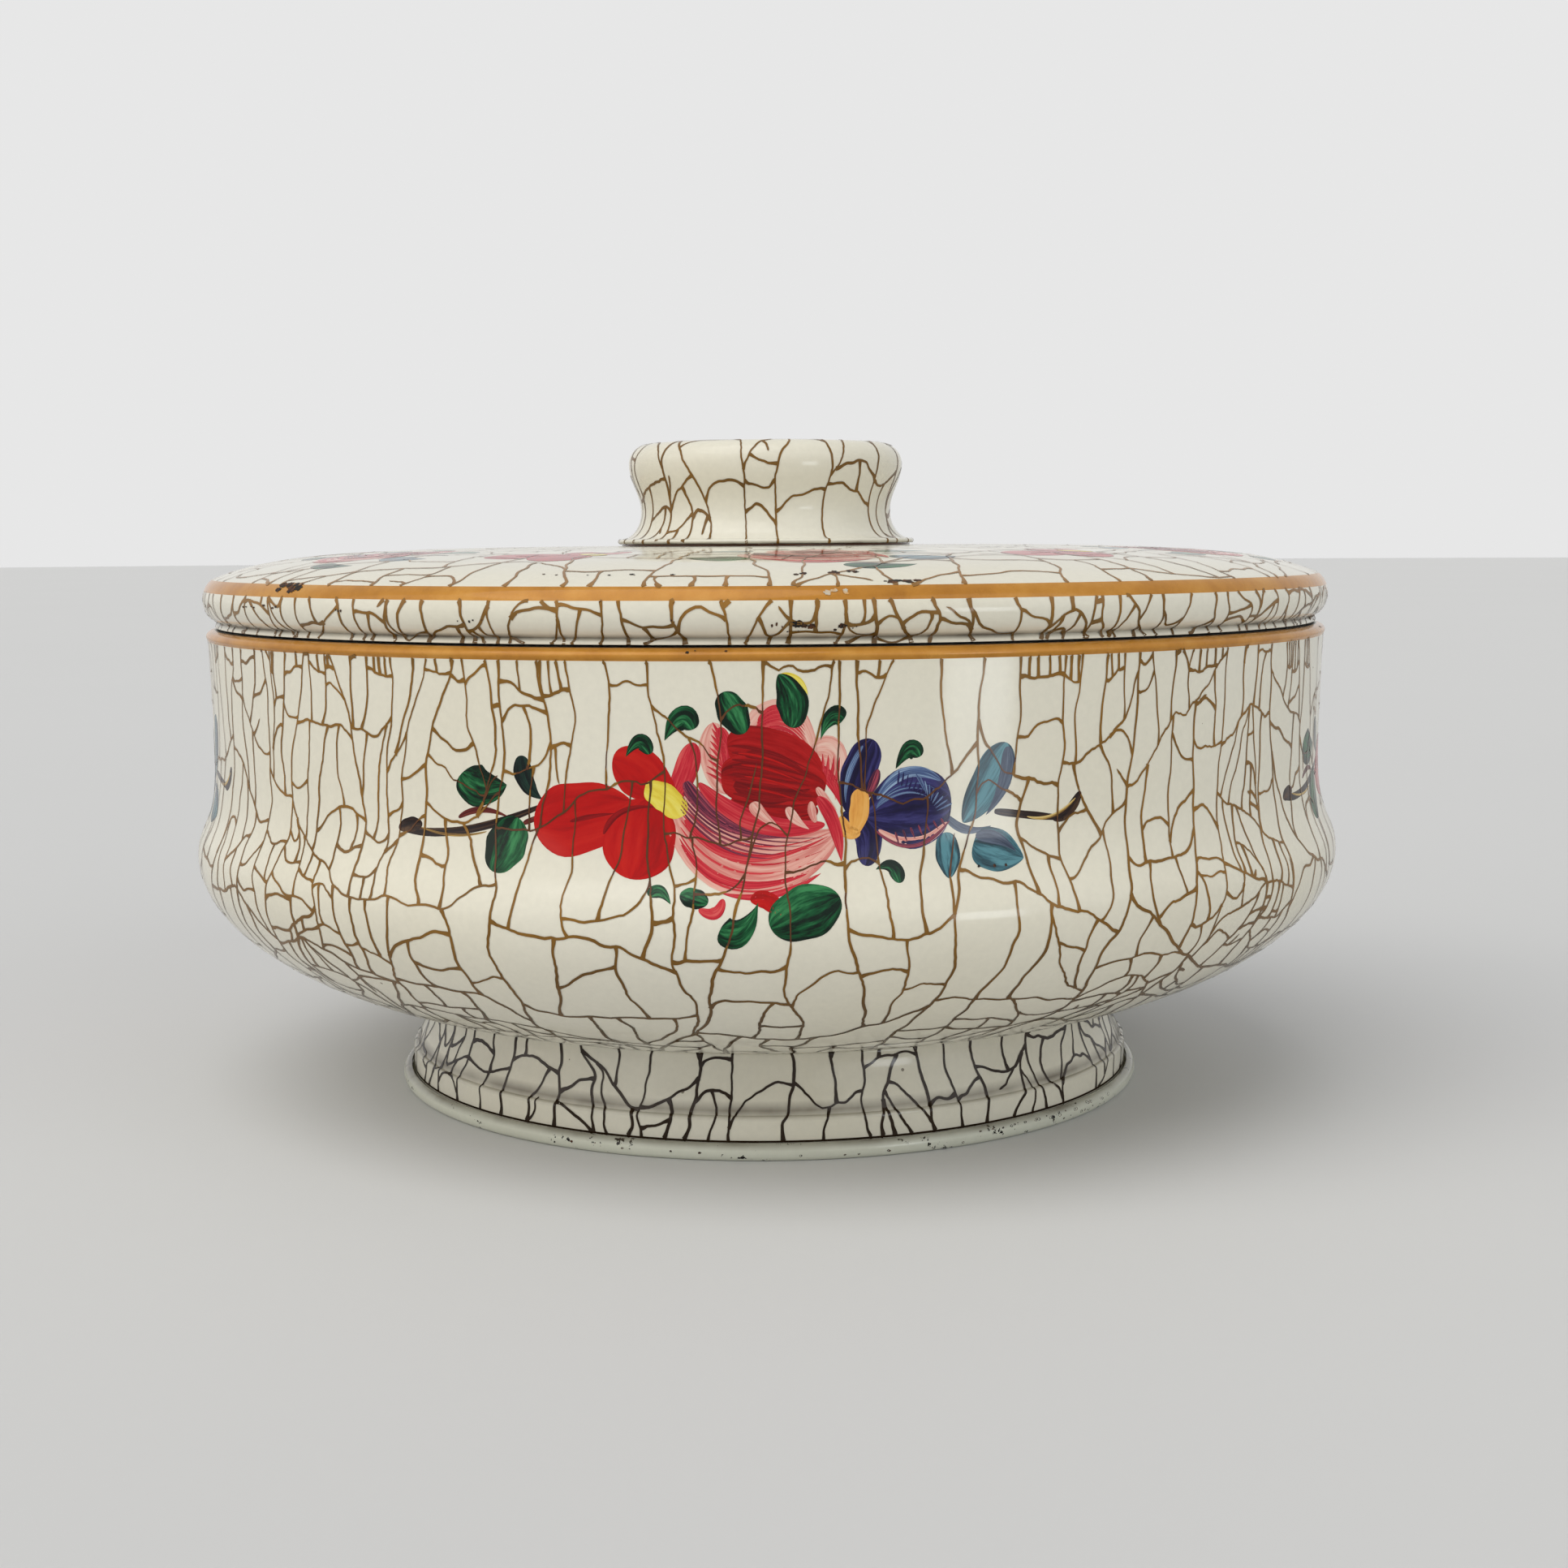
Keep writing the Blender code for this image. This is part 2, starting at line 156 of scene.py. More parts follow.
def oval(centre, half_width, half_height, start, end, steps):
    """Points on an upright ellipse, from one angle to another in degrees."""
    angles = np.radians(np.linspace(start, end, steps + 1))
    return [(centre[0] + half_width * math.cos(angle), centre[1] + half_height * math.sin(angle))
            for angle in angles]


def arc(centre, radius, start, end, steps):
    """Points on a circle, from one angle to another in degrees."""
    return oval(centre, radius, radius, start, end, steps)


def sweep(start, start_handle, end_handle, end, steps):
    """Points on a cubic curve, given by its ends and its two handles."""
    corners = (start, start_handle, end_handle, end)
    points = []
    for t in np.linspace(0, 1, steps + 1):
        weights = ((1 - t) ** 3, 3 * (1 - t) ** 2 * t, 3 * (1 - t) * t ** 2, t ** 3)
        points.append([sum(w * corner[axis] for w, corner in zip(weights, corners)) for axis in (0, 1)])
    return points


def straight(start, end, steps):
    """Points on a straight line."""
    return [(start[0] + (end[0] - start[0]) * t, start[1] + (end[1] - start[1]) * t)
            for t in np.linspace(0, 1, steps + 1)]


def joined(*runs):
    """One profile from runs that follow each other, with shared end points kept once."""
    profile = []
    for run in runs:
        for point in run:
            if not profile or math.dist(profile[-1], point) > SAME_POINT:
                profile.append(point)
    return profile


def foot_profile():
    """Outer face of the foot ring, from its inner flange to the tip of the curl."""
    wall_top = (FOOT_TOP_RADIUS, FOOT_HEIGHT - FOOT_BEND)
    ledge = (FOOT_TOP_RADIUS + FOOT_FLARE, LEDGE_HEIGHT)
    drop = wall_top[1] - LEDGE_HEIGHT
    handles = [(FOOT_TOP_RADIUS + FOOT_FLARE * spread, LEDGE_HEIGHT + drop * height)
               for spread, height in FOOT_HANDLE_SHARES]
    flange = straight((FOOT_TOP_RADIUS - FOOT_FLANGE, FOOT_HEIGHT),
                      (FOOT_TOP_RADIUS - FOOT_BEND, FOOT_HEIGHT), 4)
    bend = arc((FOOT_TOP_RADIUS - FOOT_BEND, wall_top[1]), FOOT_BEND, 90, 0, TIGHT_FACETS)
    wall = sweep(wall_top, *handles, ledge, WIDE_FACETS)
    corner = arc((ledge[0], LEDGE_HEIGHT - LEDGE_WIDTH), LEDGE_WIDTH, 90, 0, TIGHT_FACETS)
    half_width = FOOT_CURL_WIDTH / 2 - SHEET
    half_height = FOOT_CURL_HEIGHT / 2 - SHEET
    curl_centre = (ledge[0] + LEDGE_WIDTH + half_width, SHEET + half_height)
    band = straight((ledge[0] + LEDGE_WIDTH, LEDGE_HEIGHT - LEDGE_WIDTH),
                    (ledge[0] + LEDGE_WIDTH, curl_centre[1]), TIGHT_FACETS)
    curl = oval(curl_centre, half_width, half_height, 180, 180 + FOOT_CURL_TURN, 3 * TIGHT_FACETS)
    return joined(flange, bend, wall, corner, band, curl)


def bowl_profile():
    """Outer face of the bowl, from the rim's inward curl to the middle of the bottom."""
    rim_centre = (NECK_RADIUS - RIM_CURL, SHOULDER_RISE + NECK_RISE - RIM_CURL)
    rim = arc(rim_centre, RIM_CURL, RIM_CURL_START, 0, 2 * TIGHT_FACETS)
    fillet = arc((NECK_RADIUS + NECK_FILLET, SHOULDER_RISE + NECK_FILLET), NECK_FILLET, 180, 270, 6)
    bead_centre = (SHOULDER_RADIUS - BEAD_HALF_WIDTH, SHOULDER_RISE - BEAD_HALF_HEIGHT)
    bead_end = math.degrees(math.acos(1 - BEAD_PROUD / BEAD_HALF_WIDTH))
    bead = oval(bead_centre, BEAD_HALF_WIDTH, BEAD_HALF_HEIGHT, 90, -bead_end, 2 * TIGHT_FACETS)
    wall_top = bead[-1]
    waist = (WAIST_RADIUS, WAIST_RISE)
    bulge = (BULGE_RADIUS, BULGE_RISE)
    upper = wall_top[1] - WAIST_RISE
    lower = WAIST_RISE - BULGE_RISE
    wall = sweep(wall_top,
                 (wall_top[0] - WAIST_DEPTH / 2, wall_top[1] - upper * WALL_HANDLE_SHARES[0]),
                 (WAIST_RADIUS, WAIST_RISE + upper * WALL_HANDLE_SHARES[1]), waist, WIDE_FACETS)
    swell = sweep(waist,
                  (WAIST_RADIUS, WAIST_RISE - lower * BULGE_HANDLE_SHARES[0]),
                  (BULGE_RADIUS, BULGE_RISE + lower * BULGE_HANDLE_SHARES[1]), bulge, WIDE_FACETS)
    reach = BULGE_RADIUS - BOTTOM_RADIUS
    underside = sweep(bulge,
                      (BULGE_RADIUS, BULGE_RISE * (1 - UNDERSIDE_HANDLE_SHARES[0])),
                      (BOTTOM_RADIUS + reach * UNDERSIDE_HANDLE_SHARES[1], 0),
                      (BOTTOM_RADIUS, 0), 2 * WIDE_FACETS)
    return joined(rim, fillet, bead, wall, swell, underside, straight((BOTTOM_RADIUS, 0), (0, 0), 8))


def skirt_centre():
    """Middle of the lid's half-round skirt, above the lid's lower edge."""
    crease_angle = math.radians(SKIRT_CREASE_ANGLE)
    return (NECK_RADIUS + NECK_CLEARANCE + SHEET - SKIRT_DEPTH * math.cos(crease_angle),
            HEM_HEIGHT + SKIRT_HALF_HEIGHT * math.sin(crease_angle))


def lid_profile():
    """Outer face of the lid, from the rivet hole to the lower edge."""
    skirt = oval(skirt_centre(), SKIRT_DEPTH, SKIRT_HALF_HEIGHT, SKIRT_TOP_ANGLE,
                 -SKIRT_CREASE_ANGLE, WIDE_FACETS)
    top_angle = math.radians(SKIRT_TOP_ANGLE)
    slope = SKIRT_HALF_HEIGHT * math.cos(top_angle) / (SKIRT_DEPTH * math.sin(top_angle))
    span = skirt[0][0] - KNOB_FLANGE_RADIUS
    first_handle = (KNOB_FLANGE_RADIUS + span * DOME_HANDLE_SHARES[0], LID_HEIGHT)
    last_reach = span * DOME_HANDLE_SHARES[1]
    last_handle = (skirt[0][0] - last_reach, skirt[0][1] + last_reach * slope)
    seat = straight((RIVET_HOLE_RADIUS, LID_HEIGHT), (KNOB_FLANGE_RADIUS, LID_HEIGHT), 6)
    dome = sweep((KNOB_FLANGE_RADIUS, LID_HEIGHT), first_handle, last_handle, skirt[0],
                 2 * WIDE_FACETS)
    edge_radius = skirt[-1][0] + HEM_FLARE
    return joined(seat, dome, skirt, [(edge_radius, HEM_END), (edge_radius, 0)])


def knob_profile():
    """Outer face of the knob, from the middle of its top to the edge of its turned-in layer."""
    head_radius = KNOB_WAIST_RADIUS + KNOB_SWELL
    corner = oval((head_radius - KNOB_CORNER, KNOB_SWELL_RISE), KNOB_CORNER,
                  KNOB_HEIGHT - KNOB_CROWN - KNOB_SWELL_RISE, 90, 0, 2 * TIGHT_FACETS)
    crown = sweep((0, KNOB_HEIGHT), (head_radius / 3, KNOB_HEIGHT),
                  (head_radius / 2, corner[0][1]), corner[0], TIGHT_FACETS)
    waist = (KNOB_WAIST_RADIUS, KNOB_WAIST_RISE)
    pull = (KNOB_SWELL_RISE - KNOB_WAIST_RISE) * KNOB_HEAD_HANDLE_SHARE
    side = sweep((head_radius, KNOB_SWELL_RISE), (head_radius, KNOB_SWELL_RISE - pull),
                 (KNOB_WAIST_RADIUS, KNOB_WAIST_RISE + pull), waist, WIDE_FACETS)
    fold = KNOB_FLANGE_HEIGHT / 2
    edge_radius = KNOB_FLANGE_RADIUS - fold
    flare_height = KNOB_WAIST_RISE - KNOB_FLANGE_HEIGHT
    flare_width = edge_radius - KNOB_WAIST_RADIUS
    flare = sweep(waist,
                  (KNOB_WAIST_RADIUS, KNOB_WAIST_RISE - flare_height * KNOB_FLARE_HANDLE_SHARES[0]),
                  (edge_radius - flare_width * KNOB_FLARE_HANDLE_SHARES[1], KNOB_FLANGE_HEIGHT),
                  (edge_radius, KNOB_FLANGE_HEIGHT), WIDE_FACETS)
    edge = arc((edge_radius, fold), fold, 90, -90, TIGHT_FACETS)
    return joined(crown, corner, side, flare, edge, [(KNOB_FLANGE_RADIUS - KNOB_TURN_IN, 0)])


def add_grid(shape, spots, slots, wraps=(False, False), flipped=False, maps=()):
    """Smooth faces over rows of points, and the vertices made for them.

    slots gives a finish for each row of faces, or None to leave it out, and wraps tells whether the
    last row joins the first, and the last column. maps are UV layers, each with complex places.
    """
    made = [[shape.verts.new(spot) for spot in row] for row in spots]
    rows, columns = len(made), len(made[0])
    for i, slot in zip(range(rows if wraps[0] else rows - 1), slots):
        if slot is None:
            continue
        for j in range(columns if wraps[1] else columns - 1):
            below, right = (i + 1) % rows, (j + 1) % columns
            places = ((i, j), (i, right), (below, right), (below, j))[::-1 if flipped else 1]
            face = shape.faces.new([made[row][column] for row, column in places])
            face.smooth = True
            face.material_index = slot
            for layer, flat in maps:
                for loop, place in zip(face.loops, places):
                    loop[layer].uv = (flat[place].real, flat[place].imag)
    return made


def turned(radii, heights, steps):
    """Rows of points round the axis."""
    angles = np.arange(steps) * math.tau / steps
    return np.stack((np.outer(radii, np.cos(angles)), np.outer(radii, np.sin(angles)),
                     np.outer(heights, np.ones(steps))), axis=-1)


class Sheet:
    """A turned sheet's outer face, and the flat blank that it was drawn from.

    run is the way along the profile, counted from the axis outwards, and blank is the distance from
    the middle of the flat sheet that had the same area inside it.
    """

    def __init__(self, profile, level, marks=()):
        self.marks = marks
        points = np.array(profile)
        ahead = np.gradient(points, axis=0)
        ahead /= np.linalg.norm(ahead, axis=1)[:, None]
        outward = np.stack((-ahead[:, 1], ahead[:, 0]), axis=1)
        self.downward = points[0, 0] < points[-1, 0]
        if not self.downward:
            points, outward = points[::-1], outward[::-1]
        steps = np.linalg.norm(np.diff(points, axis=0), axis=1)
        middles = (points[1:, 0] + points[:-1, 0]) / 2
        run = np.concatenate(([0], np.cumsum(steps)))
        blank = np.sqrt(points[0, 0] ** 2 + 2 * np.concatenate(([0], np.cumsum(middles * steps))))
        self.run = np.union1d(run, marks)
        self.radius, rise, self.out_radius, self.out_height, self.blank = (
            np.interp(self.run, run, values) for values in (*points.T, *outward.T, blank))
        self.height = rise + level

    def place(self, angle, run, depth):
        """Points at these angles and runs, at a depth under the outer face."""
        out_radius = np.interp(run, self.run, self.out_radius)
        out_height = np.interp(run, self.run, self.out_height)
        radius = np.interp(run, self.run, self.radius) - depth * out_radius
        height = np.interp(run, self.run, self.height) - depth * out_height
        return np.stack((radius * np.cos(angle), radius * np.sin(angle), height), axis=-1)

    def radius_at(self, run):
        """Radius of the outer face at a run."""
        return float(np.interp(run, self.run, self.radius))

    def run_at(self, height, low, high):
        """Run of the place at this height, between two runs."""
        chosen = (self.run >= low) & (self.run <= high)
        order = np.argsort(self.height[chosen])
        return float(np.interp(height, self.height[chosen][order], self.run[chosen][order]))

    def shell(self, name, steps, finishes, order=(0,)):
        """The sheet as a closed shell, with finishes in this order between the marks on its outside."""
        outer, inner = (np.stack((self.radius - depth * self.out_radius,
                                  self.height - depth * self.out_height), axis=1)
                        for depth in (PRINT_DEPTH, SHEET))
        loop = np.concatenate((outer, inner[::-1]))
        loop[:, 0] = loop[:, 0].clip(0)
        middles = (self.run[1:] + self.run[:-1]) / 2
        slots = [order[stretch] for stretch in np.searchsorted(self.marks, middles)]
        slots += [len(finishes) - 1] * (len(slots) + 2)
        on_axis = loop[:, 0] + np.roll(loop[:, 0], -1) < SHEET / 2
        slots = [None if left_out else slot for left_out, slot in zip(on_axis, slots)]
        shell = bmesh.new()
        add_grid(shell, turned(*loop.T, steps), slots, (True, True), self.downward)
        bmesh.ops.remove_doubles(shell, verts=shell.verts, dist=MM / 1000)
        return piece_from(name, shell, finishes)


def piece_from(name, shape, finishes):
    """A scene object from a bmesh and its materials."""
    mesh = bpy.data.meshes.new(name)
    shape.to_mesh(mesh)
    shape.free()
    for finish in finishes:
        mesh.materials.append(finish)
    mesh.set_sharp_from_angle(angle=SHARP_ANGLE)
    piece = bpy.data.objects.new(name, mesh)
    bpy.context.scene.collection.objects.link(piece)
    return piece


# Crackle. Points of the flat blank are complex numbers, in metres from its middle.

CRACKLE_STEP = 0.7 * MM       # points along a line
LINE_STEPS = 6
WHOLE_SHARES = (0.35, 2.2)    # a cell stays whole when it is under such a share of the wanted area
CROSSING_SHARE = 0.17         # how far from a cell's middle a new line may cross it
OUTWARD_LINE = (0.17, 0.05)   # usual slant in radians, and bow as a share of the length
ROUND_LINE = (0.24, 0.10)     # the same, of lines round the axis
LOOSE_SHARE, LADDER_SHARE, COMB_SHARE = 0.06, 0.22, 0.5
LOOSE_REACH_SHARES = (0.7, 1.2)
LOOSE_BOW_SHARE = 0.4
LADDER_WIDTH = 5.0 * MM       # ladders are on cells narrower than this
RUNG_GAPS = (1.0, 2.2)        # millimetres
RUNG_STARTS = (-2, 1)         # millimetres from the cell's middle to the first rung
COMB_GAP = 2.3 * MM           # least gap between a comb's lines
COMB_DEPTHS = (0.9, 3.2)      # millimetres
COMB_BOW_SHARE = 0.04
MOST_COMB_LINES = 4
COMB_SLACK, SECTOR_SLACK = 0.15, 0.2    # shares of the usual gap
DISC_CORNERS, SECTOR_CORNERS = 96, 9
CELL_SIZES = (
    # share of the way to the band, cells between the sprays and behind them, in millimetres
    (0.00, 7.0, 7.0),
    (0.60, 6.4, 8.5),
    (0.70, 5.3, 11.5),
    (0.84, 5.3, 12.0),
    (0.92, 7.8, 12.0),
    (1.00, 8.2, 12.0),
)
WALL_START_SHARE = 0.7        # of the way to the band, where the cells begin to be longer upwards
WALL_PULL, SPRAY_PULL = 1.25, 0.25    # how much longer, and how much more behind the flowers
SPRAY_FALLOFF = 0.8
STRAYS = ((1.1 * MM, 24 * MM), (0.22 * MM, 6 * MM), (0.05 * MM, 1.8 * MM))    # reach and wavelength
STRAY_WAVES = 9
WAVE_SHARES = (0.5, 1.6)      # of the number of waves over a length
WIDTH_SHARES = (0.78, 1.25)   # of the usual width, from line to line
RIPPLE_SHARE, RIPPLE_LENGTH = 0.12, 1.7 * MM
RIPPLE_PHASE = 5              # radians for each millimetre to the right where a line starts
LEAST_WIDTH_SHARE = 0.1
FLARE, TAPER = 0.7, -0.75     # how much wider a line is where it meets another, and at a loose end
FLARE_REACH = 0.6 * MM
KEPT_WIDTH = 0.4              # power of the drawn sheet's stretch that lines are wider by
COVERED_WIDTH_SHARE = 0.65    # of a line that shows over the flowers
MAP_SPAN = 2.1                # side of the crackle's flat map, in radii of the blank


def area_of(cell):
    """Signed area of a closed outline."""
    points = np.array(cell)
    return float((points.conj() * np.roll(points, -1)).imag.sum() / 2)


def middle_of(cell):
    """Centroid of a closed outline."""
    points = np.array(cell)
    after = np.roll(points, -1)
    cross = (points.conj() * after).imag
    return complex(((points + after) * cross).sum() / (3 * cross.sum()))


def crossings(cell, through, heading):
    """Where a straight line meets an outline: its place along the line, and the corner before it."""
    found = []
    for index, start in enumerate(cell):
        end = cell[(index + 1) % len(cell)]
        side = ((start - through) * heading.conjugate()).imag
        end_side = ((end - through) * heading.conjugate()).imag
        if (side < 0) != (end_side < 0):
            point = start + (end - start) * side / (side - end_side)
            found.append((((point - through) * heading.conjugate()).real, index, point))
    return found


def split(cell, through, heading, bow):
    """Divide an outline along a line, bowed sideways by a share of its length."""
    found = crossings(cell, through, heading)
    ahead = min((c for c in found if c[0] > 0), default=None)
    behind = max((c for c in found if c[0] <= 0), default=None)
    if not ahead or not behind:
        return None
    first, last = sorted((ahead, behind), key=lambda c: c[1])
    if first[1] == last[1]:
        return None
    start, end = first[2], last[2]
    side = (end - start) * 1j * bow
    line = [start + (end - start) * t + side * 4 * t * (1 - t)
            for t in np.linspace(0, 1, LINE_STEPS + 1)]
    one = cell[first[1] + 1:last[1] + 1] + line[::-1]
    other = cell[last[1] + 1:] + cell[:first[1] + 1] + line
    return line, one, other


def first_cells(inner, outer, sectors, chance):
    """The uncracked sheet: a whole disc, or a ring in sectors with the lines between them."""
    def circle(radius, start, end, steps):
        return [radius * complex(math.cos(a), math.sin(a)) for a in np.linspace(start, end, steps)]

    if not inner:
        return [], [circle(outer, 0, math.tau, DISC_CORNERS + 1)[:-1]]
    turns = [math.tau * (index + chance.uniform(-SECTOR_SLACK, SECTOR_SLACK)) / sectors
             for index in range(sectors)]
    ends = turns[1:] + [turns[0] + math.tau]
    cells = [circle(inner, start, end, SECTOR_CORNERS) + circle(outer, end, start, SECTOR_CORNERS)
             for start, end in zip(turns, ends)]
    return [([cell[0], (cell[0] + cell[-1]) / 2, cell[-1]], FLARE) for cell in cells], cells


def crackle_lines(inner, outer, size_of, pull_of, seed, sectors=1, comb_edge=0, lean=1.0):
    """Lines that split flat lacquer again and again, each ending on an older one, with its end's flare.

    size_of gives the size of the cells at a place and pull_of how much longer they are outwards.
    Cells that cross comb_edge get combs of short lines there. A larger lean gives more slanting lines.
    """
    chance = random.Random(seed)
    lines, cells = first_cells(inner, outer, sectors, chance)
    while cells:
        cell = cells.pop()
        middle = middle_of(cell)
        out = middle / abs(middle)
        spread = (np.array(cell) - middle) * out.conjugate()
        outwards, around = np.ptp(spread.real), np.ptp(spread.imag)
        if abs(area_of(cell)) < size_of(middle) ** 2 * chance.uniform(*WHOLE_SHARES):
            if comb_edge and max(abs(corner) for corner in cell) > comb_edge:
                if chance.random() < COMB_SHARE:
                    lines += comb(cell, comb_edge, chance)
            elif around < min(LADDER_WIDTH, outwards / 2) and chance.random() < LADDER_SHARE:
                lines += ladder(cell, middle, chance)
            elif chance.random() < LOOSE_SHARE:
                lines.append((loose_end(cell, middle, chance), TAPER))
            continue
        radial = around > outwards / pull_of(middle)
        along, width = (out, around) if radial else (out * 1j, outwards)
        slant, bow = OUTWARD_LINE if radial else ROUND_LINE
        shift = along * 1j * chance.uniform(-CROSSING_SHARE, CROSSING_SHARE) * width
        turn = lean * chance.gauss(0, slant)
        heading = along * complex(math.cos(turn), math.sin(turn))
        parts = split(cell, middle + shift, heading, lean * chance.gauss(0, bow))
        if parts is not None:
            lines.append((parts[0], FLARE))
            cells += parts[1:]
    return lines


def loose_end(cell, middle, chance):
    """A short crack that starts on a cell's edge and dies out inside it."""
    start = cell[chance.randrange(len(cell))]
    end = start + (middle - start) * chance.uniform(*LOOSE_REACH_SHARES)
    side = (end - start) * 1j * chance.uniform(-LOOSE_BOW_SHARE, LOOSE_BOW_SHARE)
    return [start + (end - start) * t + side * t * t for t in np.linspace(0, 1, LINE_STEPS + 1)]


def across_cell(cell, through, heading):
    """The straight line over a cell through a place, or nothing where it doesn't cross the cell."""
    found = sorted(crossings(cell, through, heading))
    if len(found) != 2:
        return []
    return [([found[0][2], (found[0][2] + found[1][2]) / 2, found[1][2]], FLARE)]


def ladder(cell, middle, chance):
    """A few rungs close together over a cell."""
    out = middle / abs(middle)
    gap = chance.uniform(*RUNG_GAPS) * MM
    start = chance.uniform(*RUNG_STARTS) * MM
    return [line for rung in range(chance.randint(2, 3))
            for line in across_cell(cell, middle + out * (start + rung * gap), out * 1j)]


def comb(cell, edge, chance):
    """A rung close inside an edge, and short lines from it over the edge."""
    middle = middle_of(cell)
    out = middle / abs(middle)
    depth = chance.uniform(*COMB_DEPTHS) * MM
    parts = split(cell, out * (edge - depth), out * 1j, chance.gauss(0, COMB_BOW_SHARE))
    if parts is None:
        return []
    top = max(parts[1:], key=lambda part: abs(middle_of(part)))
    middle = middle_of(top)
    sides = ((np.array(top) - middle) * out.conjugate()).imag
    lines = [(parts[0], FLARE)]
    count = min(chance.randint(0, MOST_COMB_LINES), int(np.ptp(sides) / COMB_GAP))
    for index in range(count):
        share = (index + 1 + chance.uniform(-COMB_SLACK, COMB_SLACK)) / (count + 1)
        lines += across_cell(top, middle + out * 1j * (sides.min() + np.ptp(sides) * share), out)
    return lines


def strayed(points, reach, wave, seed):
    """Points moved by a smooth field, so that straight lines wander."""
    chance = np.random.default_rng(seed)
    shift = np.zeros(len(points), complex)
    for _ in range(STRAY_WAVES):
        heading = np.exp(1j * chance.uniform(0, math.tau))
        heading = heading * chance.uniform(*WAVE_SHARES) * math.tau / wave
        push = np.exp(1j * chance.uniform(0, math.tau))
        shift += push * np.sin((points * heading.conjugate()).real + chance.uniform(0, math.tau))
    return points + reach / 2 * shift


def resampled(line, step):
    """The same line with points about a step apart."""
    points = np.array(line)
    run = np.concatenate(([0], np.cumsum(np.abs(np.diff(points)))))
    even = np.linspace(0, run[-1], max(3, math.ceil(run[-1] / step) + 1))
    return np.interp(even, run, points.real) + 1j * np.interp(even, run, points.imag)


def crackle(name, sheet, lines, width, finishes, span, seed, foot=FLARE, widening=0,
            step=CRACKLE_STEP, covered=None):
    """The lines as ribbons on a sheet, between the two runs of the span.

    A line cut off at a run flares by foot, and lines are wider inwards by the share widening.
    covered tells which places are under flowers, where the lines are thin and have the second finish.
    """
    chance = np.random.default_rng(seed)
    net = bmesh.new()
    blank_map = net.loops.layers.uv.new("OFBake")
    edges = np.interp(span, sheet.run, sheet.blank)
    for line, end_flare in lines:
        points = resampled(line, step)
        for index, (reach, wave) in enumerate(STRAYS):
            points = strayed(points, reach, wave, seed + index)
        own_width = width * chance.uniform(*WIDTH_SHARES)
        shown = (np.abs(points) >= edges[0]) & (np.abs(points) <= edges[1])
        for part in np.split(np.arange(len(points)), np.flatnonzero(np.diff(shown)) + 1):
            if len(part) < 2 or not shown[part[0]]:
                continue
            wider = np.arange(max(part[0] - 1, 0), min(part[-1] + 2, len(points)))
            flares = [FLARE if shown[wider[0]] else foot, end_flare if shown[wider[-1]] else foot]
            kept = points[wider] / np.abs(points[wider]) * np.abs(points[wider]).clip(*edges)
            widths = own_width * (1 + widening * (1 - np.abs(kept) / edges[1]))
            under = np.zeros(len(kept), bool)
            if covered:
                under = covered(np.angle(kept), np.interp(np.abs(kept), sheet.blank, sheet.run))
            ribbon(net, blank_map, sheet, kept, widths, flares, under)
    return piece_from(name, net, finishes)


def ribbon(net, blank_map, sheet, points, widths, flares, under):
    """One crackle line, wider at its ends, where it meets its neighbours."""
    ahead = np.gradient(points)
    ahead /= np.abs(ahead).clip(1e-9)
    run = np.concatenate(([0], np.cumsum(np.abs(np.diff(points)))))
    ripple = 1 + RIPPLE_SHARE * np.sin(run / RIPPLE_LENGTH + points[0].real / MM * RIPPLE_PHASE)
    swell = sum(flare * np.exp(-(near / (FLARE_REACH * (1 + flare))) ** 2)
                for flare, near in zip(flares, (run, run[-1] - run)))
    inwards = points / np.abs(points)
    drawn = np.abs(points) / np.interp(np.abs(points), sheet.blank, sheet.radius).clip(1 * MM)
    across = 1j * ahead * inwards.conjugate()
    stretch = np.hypot(across.real * drawn, across.imag / drawn)
    half = widths / 2 * (ripple + swell).clip(LEAST_WIDTH_SHARE)
    half = half * np.where(under, COVERED_WIDTH_SHARE, 1)
    half = half * stretch ** (KEPT_WIDTH - 1)
    edges = np.stack((points + 1j * ahead * half, points - 1j * ahead * half))
    runs = np.interp(np.abs(edges), sheet.blank, sheet.run)
    spots = sheet.place(np.angle(edges), runs, CRACKLE_DEPTH)
    flat = (edges / (MAP_SPAN * sheet.blank[-1])).T + 0.5 + 0.5j
    slots = [int(slot) for slot in under[1:] & under[:-1]]
    add_grid(net, spots.swapaxes(0, 1), slots, maps=[(blank_map, flat)])


# Brush strokes: millimetres from the middle of a flower spray, to the right and up

ROUND = (0.5, 0.5)            # how slowly a stroke fills at its start and at its end
BOX = (0.3, 0.3)
EGG = (0.5, 0.66)
DROP = (0.45, 0.95)
COMMA = (0.4, 1.25)
LINE = (0.22, 0.3)
STROKE_ALONG, STROKE_ACROSS = 22, 8
FINE_STROKE = 1.2             # strokes up to this wide are simpler and don't hide the crackle
FINE_ACROSS = 2
LEAST_HALF_WIDTH = 0.02
WAVER_SHARE = 0.04            # how much a stroke's width wavers along it
MARGIN_SHARE = 0.08           # of a stroke's cell in the bake map
SPRAY_REACH = 64              # nothing of a spray is farther from its middle

